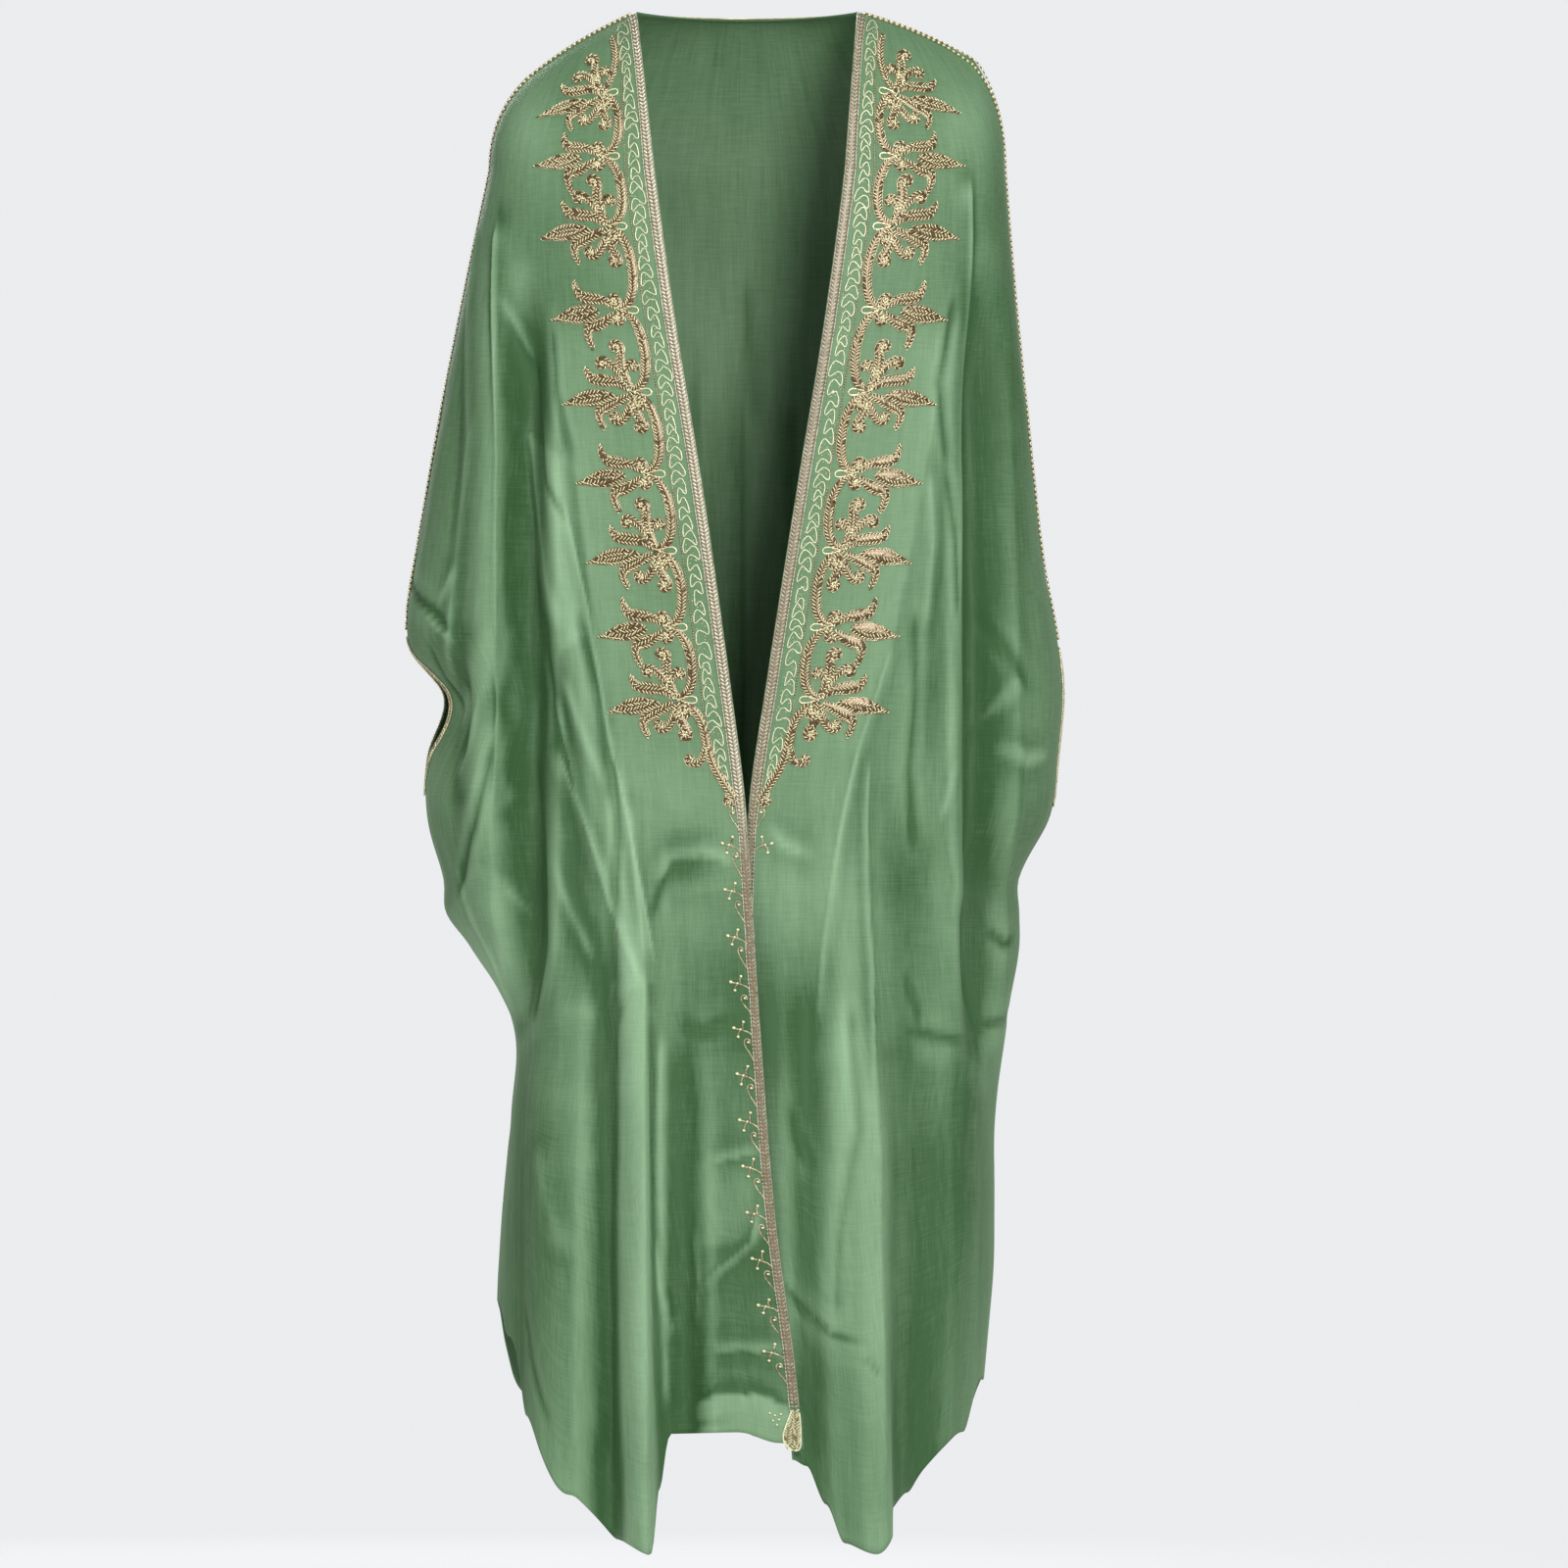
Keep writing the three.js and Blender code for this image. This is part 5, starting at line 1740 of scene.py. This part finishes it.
@dataclass
class Scroll:
    """The vine of lilies, buds and curls down one front."""

    chart: Chart
    finish: bpy.types.Material
    centres: tuple[float, ...] = (-72, -138, -205, -284, -361, -438, -510, -582, -650)
    stem: float = 52.0
    crown: float = 1.1
    fuller: float = 1.08

    def lines(self) -> list[np.ndarray]:
        """Every ribbon's (distance, z, width) rows.

        Returns:
            The lines.
        """
        made = [np.array([(34, -14, 5), (33, -24, 7), (34, -38, 7), (40, -56, 7), (52, -72, 5)], float)]
        for upper, lower in zip(self.centres, self.centres[1:]):
            tall = upper - lower
            bow = [
                (self.stem + 1, upper - 2, 4.5),
                (43, upper - 5, 6.5),
                (36, upper - 0.26 * tall, 8),
                (34.2, upper - 0.52 * tall, 8),
                (37, upper - 0.78 * tall, 8),
                (44, lower + 5, 7),
                (self.stem + 1, lower + 1, 4.5),
            ]
            made.append(np.array(bow, float))
        last = self.centres[-1]
        made += [stroke.line(self.stem, last) for stroke in TAIL]
        for k, centre in enumerate(self.centres):
            made += [stroke.line(self.stem, centre) for stroke in (BUDDED if k % 2 else CURLED)]
        return made

    def build(self) -> None:
        """Works the vine."""
        side = self.chart.side
        needle = Needle(f"scroll_{side.word}_thread", self.chart, 40 + side.value)
        for line in self.lines():
            line[:, 2] *= self.fuller
            # The dark ribbon under the stitches shows as painted shade in the gaps between them, partly the brown of
            # the padding
            needle.ribbon(line, self.crown, shade=0.0)
            needle.filling(line, self.crown, pitch=3.2, slant=0.8, row=3.5)
            # Dark cords along both edges: the brown outline cord, and painted shadow where the raised ribbon's edge
            # falls to the cloth
            fine = resample(line, 2.0)
            way = unit(np.gradient(fine[:, :2], axis=0))
            for hand in (-1, 1):
                edge = fine[:, :2] + hand * columns(-way[:, 1], way[:, 0]) * fine[:, 2:] * 0.5
                needle.cord(edge, radius=0.5, lift=0.4, shade=0.28, step=3.0, sides=3)
        for centre in self.centres:
            loop = [(-1, 0), (-9, 2.6), (-16, 3), (-18.5, 0), (-16, -3), (-9, -2.6), (-1, 0)]
            line = np.array([(self.stem + a, centre + b) for a, b in loop])
            needle.cord(line, radius=0.7, lift=0.6, shade=0.9)
        needle.build(self.finish, f"scroll_{side.word}")


@dataclass
class EdgeBraid:
    """The braid along one front's free edge, narrower below the place where the fronts meet."""

    chart: Chart
    finish: bpy.types.Material
    pitch: float = 3.6
    meeting: float = -744.0
    wide: float = 8.8
    narrow: float = 6.9

    def width(self, z: Reals) -> Reals:
        """The braid's width at a height."""
        return mix(self.wide, self.narrow, ease(-np.asarray(z, float), -self.meeting - 20, -self.meeting + 30))

    def brightness(self, z: Reals) -> Reals:
        """The chain's shade at a height: bright beside the right front's opening and browner elsewhere."""
        above = 1.0 if self.chart.side is R else 0.62
        return mix(above, 0.45, ease(-np.asarray(z, float), -self.meeting - 20, -self.meeting + 60))

    def build(self) -> None:
        """Works the braid from the neck to the hem."""
        side = self.chart.side
        needle = Needle(f"edge_braid_{side.word}_thread", self.chart, 60 + side.value)
        end = HEM[side][0][1] + (34 if side is R else 14)
        z = np.arange(-1.5, end, -self.pitch)
        width = self.width(z)
        # The dark ribbon under the chain shows as painted shade in the gaps between its stitches, partly the brown of
        # the padding
        needle.ribbon(columns(0.8 + width / 2, z, width)[::3], crown=0.9, shade=0.1, step=6.0)
        for row, slant in ((0.27, -0.7), (0.73, 0.7)):
            distance = 0.8 + row * width
            count = len(z)
            needle.stitches(
                distance + needle.random.normal(0, 0.12, count),
                z,
                slant + needle.random.normal(0, 0.08, count),
                width * 0.6,
                wide=2.0,
                high=2.1,
                lift=0.95,
                shade=self.brightness(z) - 0.25 * needle.random.random(count),
            )
        for share, radius in ((0.0, 0.55), (1.08, 0.6)):
            distance = 0.9 + share * width
            needle.cord(columns(distance, z)[::2], radius, lift=0.6, shade=0.3, step=4.0)
            needle.stitches(distance, z, 1.2, 2.0, wide=1.2, high=1.5, lift=0.8, shade=0.35 + 0.4 * share)
        needle.build(self.finish, f"edge_braid_{side.word}")


@dataclass
class SquiggleBand:
    """The band of fine curling thread beside the edge braid, with the thin line that closes it."""

    chart: Chart
    finish: bpy.types.Material
    border_finish: bpy.types.Material
    inner: float = 12.4
    line: float = 28.6
    bottom: float = -752.0
    turns: float = 15.5
    reach: float = 6.0

    def build(self) -> None:
        """Works one bold meander that loops back on itself, a finer one of small stitches, and the line."""
        side = self.chart.side
        needle = Needle(f"squiggle_band_{side.word}", self.chart, 80 + side.value)
        t = np.arange(5.0, -self.bottom, 1.2)
        for k in range(2):
            drift = np.cumsum(needle.random.normal(0, 0.2, len(t)))
            phase = t / self.turns * TAU + k * 2.2 + drift
            tight = mix(1.0, 0.42, ease(t, 680, 745))
            swing = (self.reach - 1.2 * k) * (0.95 + 0.2 * np.sin(t / 13 + k) + 0.12 * np.sin(t / 5.3 + 2 * k))
            middle = self.inner + (self.line - self.inner) / 2 + 1.2 * np.sin(t / 31 + 2 * k)
            distance = self.inner + (middle + swing * np.sin(phase) - self.inner) * tight
            z = -t + (4.6 - 1.4 * k) * np.sin(2 * phase + 0.7 + k)
            if k == 0:
                needle.cord(columns(distance, z), radius=0.6, lift=0.5, shade=0.85, step=1.5, sides=3)
            else:
                way = np.arctan2(np.gradient(z), np.gradient(distance))
                needle.stitches(distance[::2], z[::2], way[::2], 2.0, wide=0.9, high=1.0, lift=0.5, shade=0.8)
        needle.build(self.finish, None)
        border = Needle(f"band_line_{side.word}", self.chart, 70)
        z = -np.arange(10.0, 700.0, 2.6)
        border.cord(columns(self.line, z)[::8], radius=0.5, lift=0.4, shade=0.05, step=5.0)
        border.stitches(self.line, z, 1.57, 1.8, wide=1.3, high=1.3, lift=0.7, shade=0.5)
        border.build(self.border_finish, None)


@dataclass
class Trim:
    """A narrow braid or a beaded cord along a line of the cloth."""

    name: str
    line: Line
    finish: bpy.types.Material
    replaced: str
    width: float = 4.6
    pitch: float = 2.4
    beaded: bool = False

    def build(self) -> None:
        """Works the trim from one end of the line to the other."""
        needle = Needle(self.name, self.line, 7 + len(self.name))
        z = np.arange(-1.0, -self.line.length + 1.0, -self.pitch)
        if self.beaded:
            for offset in (-self.width / 2, self.width / 2):
                needle.cord(columns(offset, z), radius=0.5, lift=0.7, shade=0.4, step=4.0)
                for k, (size, shade) in enumerate(((3.0, 0.95), (2.2, 0.15))):
                    needle.stitches(offset, z[k::2], 1.57, size, wide=size, high=size, lift=1.1, shade=shade)
        else:
            needle.ribbon(columns(0.0, z, self.width)[::2], crown=0.7, shade=0.2, step=5.0)
            for share, slant in ((-0.25, 0.8), (0.25, -0.8)):
                glint = 0.2 + 0.8 * needle.random.random(len(z))
                long = self.width * 0.66
                needle.stitches(share * self.width, z, slant, long, wide=1.5, high=1.4, lift=1.0, shade=glint)
            for share in (-0.5, 0.5):
                needle.cord(columns(share * self.width, z)[::2], radius=0.6, lift=0.6, shade=0.75, step=4.0)
        needle.build(self.finish, self.replaced)


# The sprigs' (distance, up) lines and their (distance, up, size) beads: a hooked stem, and a stem with two arms
HOOK = [[(7.5, -8), (11, -2), (14.5, 4), (15.8, 9), (14, 12.5), (11.2, 11.5), (11.2, 8)]], [(12.6, 9.4, 3.0)]
BRANCH = (
    [
        [(7.5, -6), (12, -2), (17.5, 0), (23, 1.5)],
        [(15.5, -0.8), (16, 4), (15, 7)],
        [(18.5, 0.3), (20.6, -3.2), (21, -6)],
    ],
    [(24.6, 2, 4.0), (14.8, 8.2, 3.4), (21.2, -7, 3.4), (18.4, 0.6, 2.8)],
)


@dataclass
class Sprigs:
    """The small sprigs beside the braid below the place where the fronts meet."""

    chart: Chart
    finish: bpy.types.Material
    first: float
    last: float
    pitch: float = 21.6

    def build(self) -> None:
        """Works the sprigs by turns as a hook with one bead and as a branch with four."""
        side = self.chart.side
        needle = Needle(f"sprigs_{side.word}", self.chart, 90 + side.value)
        for k, z in enumerate(np.arange(self.first, self.last, -self.pitch)):
            tall = 1 + 0.12 * needle.random.normal()
            lines, beads = BRANCH if k % 2 else HOOK
            for line in lines:
                places = np.array([(a, z + b * tall) for a, b in line])
                needle.cord(places, radius=0.7, lift=0.5, shade=0.36, step=1.8)
            out, up, size = np.array(beads).T
            needle.stitches(out, z + up * tall, 0.3, size, wide=size * 0.9, high=1.9, lift=0.9, shade=0.95)
        needle.build(self.finish, None)


@dataclass
class Corner:
    """The pale worked corner at the hem of the right front, with the little motif beside it."""

    chart: Chart
    finish: bpy.types.Material

    def build(self) -> None:
        """Works the corner."""
        needle = Needle("corner_right", self.chart, 5)
        patch = np.array([(4, -1316, 7), (6, -1326, 10), (8, -1336, 14), (9, -1345, 14), (9, -1351, 10)], float)
        needle.ribbon(patch, crown=0.9, shade=0.1)
        needle.filling(patch, crown=0.9, pitch=2.6, slant=0.7, row=3.6)
        left = [(0.8, -1318), (1.2, -1334), (3, -1350), (8, -1353)]
        right = [(15, -1347), (15.6, -1338), (11.5, -1327), (7, -1316)]
        needle.cord(np.array(left + right, float), radius=0.8, lift=1.2, shade=0.95)
        petals = np.array([(21, -1320), (18, -1324), (23, -1325), (20, -1329), (25, -1318), (16, -1319)], float)
        needle.stitches(*petals.T, 0.6, 3.0, wide=2.6, high=1.8, lift=0.8, shade=0.9)
        needle.build(self.finish, None)


# Studio


@dataclass
class Studio:
    """A pale floor, soft lights and the camera."""

    middle: tuple[float, float, float] = (0.035, 0.0, -0.729)
    frame_height: float = 1.48
    distance: float = 22.0
    floor: float = -1.53
    glow: float = 0.38
    seen: float = 0.86

    def build(self) -> None:
        """Makes the floor, the lights, the world and the camera."""
        self.ground()
        self.lights()
        self.camera()

    def ground(self) -> None:
        """A pale floor that fades away round the robe."""
        bm = bmesh.new()
        bmesh.ops.create_grid(bm, x_segments=1, y_segments=1, size=4.0)
        bmesh.ops.translate(bm, verts=bm.verts, vec=(0, 0, self.floor))
        mesh = bpy.data.meshes.new("floor")
        bm.to_mesh(mesh)
        bm.free()
        floor = add_object("floor", mesh)
        shader = Shader("pale_floor")
        place = shader.out(shader.node("TexCoord"), "Object")
        flat = shader.node("VectorMath", {"operation": "MULTIPLY"}, s0=place, s1=(1.0, 1.0, 0.0))
        away = shader.out(shader.node("VectorMath", {"operation": "LENGTH"}, s0=shader.out(flat)), "Value")
        shader.set(Base_Color=(0.92, 0.92, 0.92), Roughness=0.95, Alpha=(1.25 - away * 0.42).clamp())
        mesh.materials.append(shader.material)

    def lights(self) -> None:
        """A large key from the upper left, a weaker fill from the right, and soft light all round."""
        for name, place, size, power in (
            ("key", (1.1, -3.6, 0.9), 1.1, 112.0),
            ("fill", (-2.6, -2.6, -0.1), 1.6, 22.0),
            ("top", (0.0, -0.4, 2.6), 1.4, 16.0),
            ("back", (-0.9, 3.4, 0.7), 1.4, 70.0),
        ):
            light = bpy.data.lights.new(name, "AREA")
            light.energy, light.size = power, size
            lamp = add_object(name, light)
            lamp.location = place
            lamp.rotation_euler = (Vector(self.middle) - Vector(place)).to_track_quat("-Z", "Y").to_euler()
        world = bpy.data.worlds.new("studio")
        world.use_nodes = True
        background = world.node_tree.nodes["Background"]
        background.inputs["Color"].default_value = (0.97, 0.98, 1.0, 1)
        path = world.node_tree.nodes.new("ShaderNodeLightPath")
        seen = Socket(world.node_tree, path.outputs["Is Camera Ray"])
        world.node_tree.links.new((seen * (self.seen - self.glow) + self.glow).socket, background.inputs["Strength"])
        bpy.context.scene.world = world
        bpy.context.scene.view_settings.view_transform = "Standard"

    def camera(self) -> None:
        """A level camera far enough off that the robe's depth hardly changes its scale."""
        camera = bpy.data.cameras.new("camera")
        camera.sensor_width = 36.0
        camera.lens = camera.sensor_width * self.distance / self.frame_height
        view = add_object("camera", camera)
        view.location = (self.middle[0], -self.distance, self.middle[2])
        view.rotation_euler = (math.pi / 2, 0, 0)
        bpy.context.scene.camera = view


SEAM_FAR, SEAM_ROW = 0.985, 0.05  # where the shoulder cord lies on the front
LIP_FAR = 0.990
NECK_ROW = 0.085
CORD_STARTS = 0.05
CORD_STOPS = 4.0  # how far over a hand opening it ends
LIP_PAST = 3.0  # how far the braid of a hand opening's lip runs past the opening


def neck_line(form: RobeForm) -> Line:
    """A line a little below the back's neckline, from the right shoulder to the left one.

    Args:
        form: the robe's surface.

    Returns:
        The line.
    """
    far = np.linspace(0.01, NECK_SHARE - 0.01, 30)
    right, left = (Line.over(form, side, B, far, NECK_ROW) for side in (R, L))
    return Line(np.vstack([right.points[::-1], left.points]), np.vstack([right.outward[::-1], left.outward]))


def trim_seam(form: RobeForm, side: Side, finish: bpy.types.Material) -> None:
    """Works the beaded cord over one shoulder and the braids on the lips of that side's hand opening.

    Args:
        form: the robe's surface.
        side: the side.
        finish: the thread's material.
    """
    word, (top, bottom, _, _) = side.word, HAND[side]
    far = np.concatenate([np.linspace(CORD_STARTS, SEAM_FAR, 30), np.full(60, SEAM_FAR)])
    row = np.concatenate([np.full(30, SEAM_ROW), np.linspace(0.06, row_of(top + CORD_STOPS), 60)])
    seam = Line.over(form, side, F, far, row)
    Trim(f"shoulder_beads_{word}", seam, finish, f"shoulder_cord_{word}", width=4.4, pitch=2.7, beaded=True).build()
    rows = row_of(np.linspace(top - LIP_PAST, bottom + LIP_PAST, 40))
    for face in Face:
        lip = Line.over(form, side, face, LIP_FAR, rows)
        ends = f"{word}_{face.value}"
        Trim(f"cuff_thread_{ends}", lip, finish, f"cuff_braid_{ends}", width=6.0, pitch=2.8).build()


def main() -> None:
    """Builds the robe, its thread work and the studio."""
    logging.basicConfig(level=logging.INFO, format="%(message)s")
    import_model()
    form = RobeForm(MAIN_FOLDS, CREASES)
    cloth = ClothFinish().make()
    for panel in (
        ClothPanel("front_right", F, -1.0, 0.0, 190, 250, (0.44, 1.46), 0.47, form, cloth),
        ClothPanel("front_left", F, 0.0, 1.0, 190, 250, (0.42, 1.45), 0.44, form, cloth),
        ClothPanel("back", B, -1.0, 1.0, 190, 170, (0.88, 1.35), 0.90, form, cloth),
    ):
        panel.build()
    # The bright colours are near white as painted glints; the dark ones are brown, partly the thread's own brown and
    # partly painted shade
    gold, chain, pale = (
        ThreadFinish(name, linear(*dark), linear(*bright), roughness, metallic).make()
        for name, dark, bright, roughness, metallic in (
            ("gold_thread", (82, 58, 20), (255, 247, 202), 0.26, 0.3),
            ("chain_thread", (100, 80, 40), (252, 251, 228), 0.34, 0.1),
            ("pale_thread", (120, 108, 62), (240, 238, 200), 0.4, 0.2),
        )
    )
    for side in Side:
        chart = Chart(form, side)
        Scroll(chart, gold).build()
        EdgeBraid(chart, chain).build()
        SquiggleBand(chart, pale, gold).build()
        Sprigs(chart, gold, -765.0, -1300.0 if side is R else -800.0).build()
        if side is R:
            Corner(chart, pale).build()
        trim_seam(form, side, gold)
    Trim("neck_thread", neck_line(form), gold, "neck_braid", width=8.0).build()
    Studio().build()


if __name__ == "__main__":
    main()
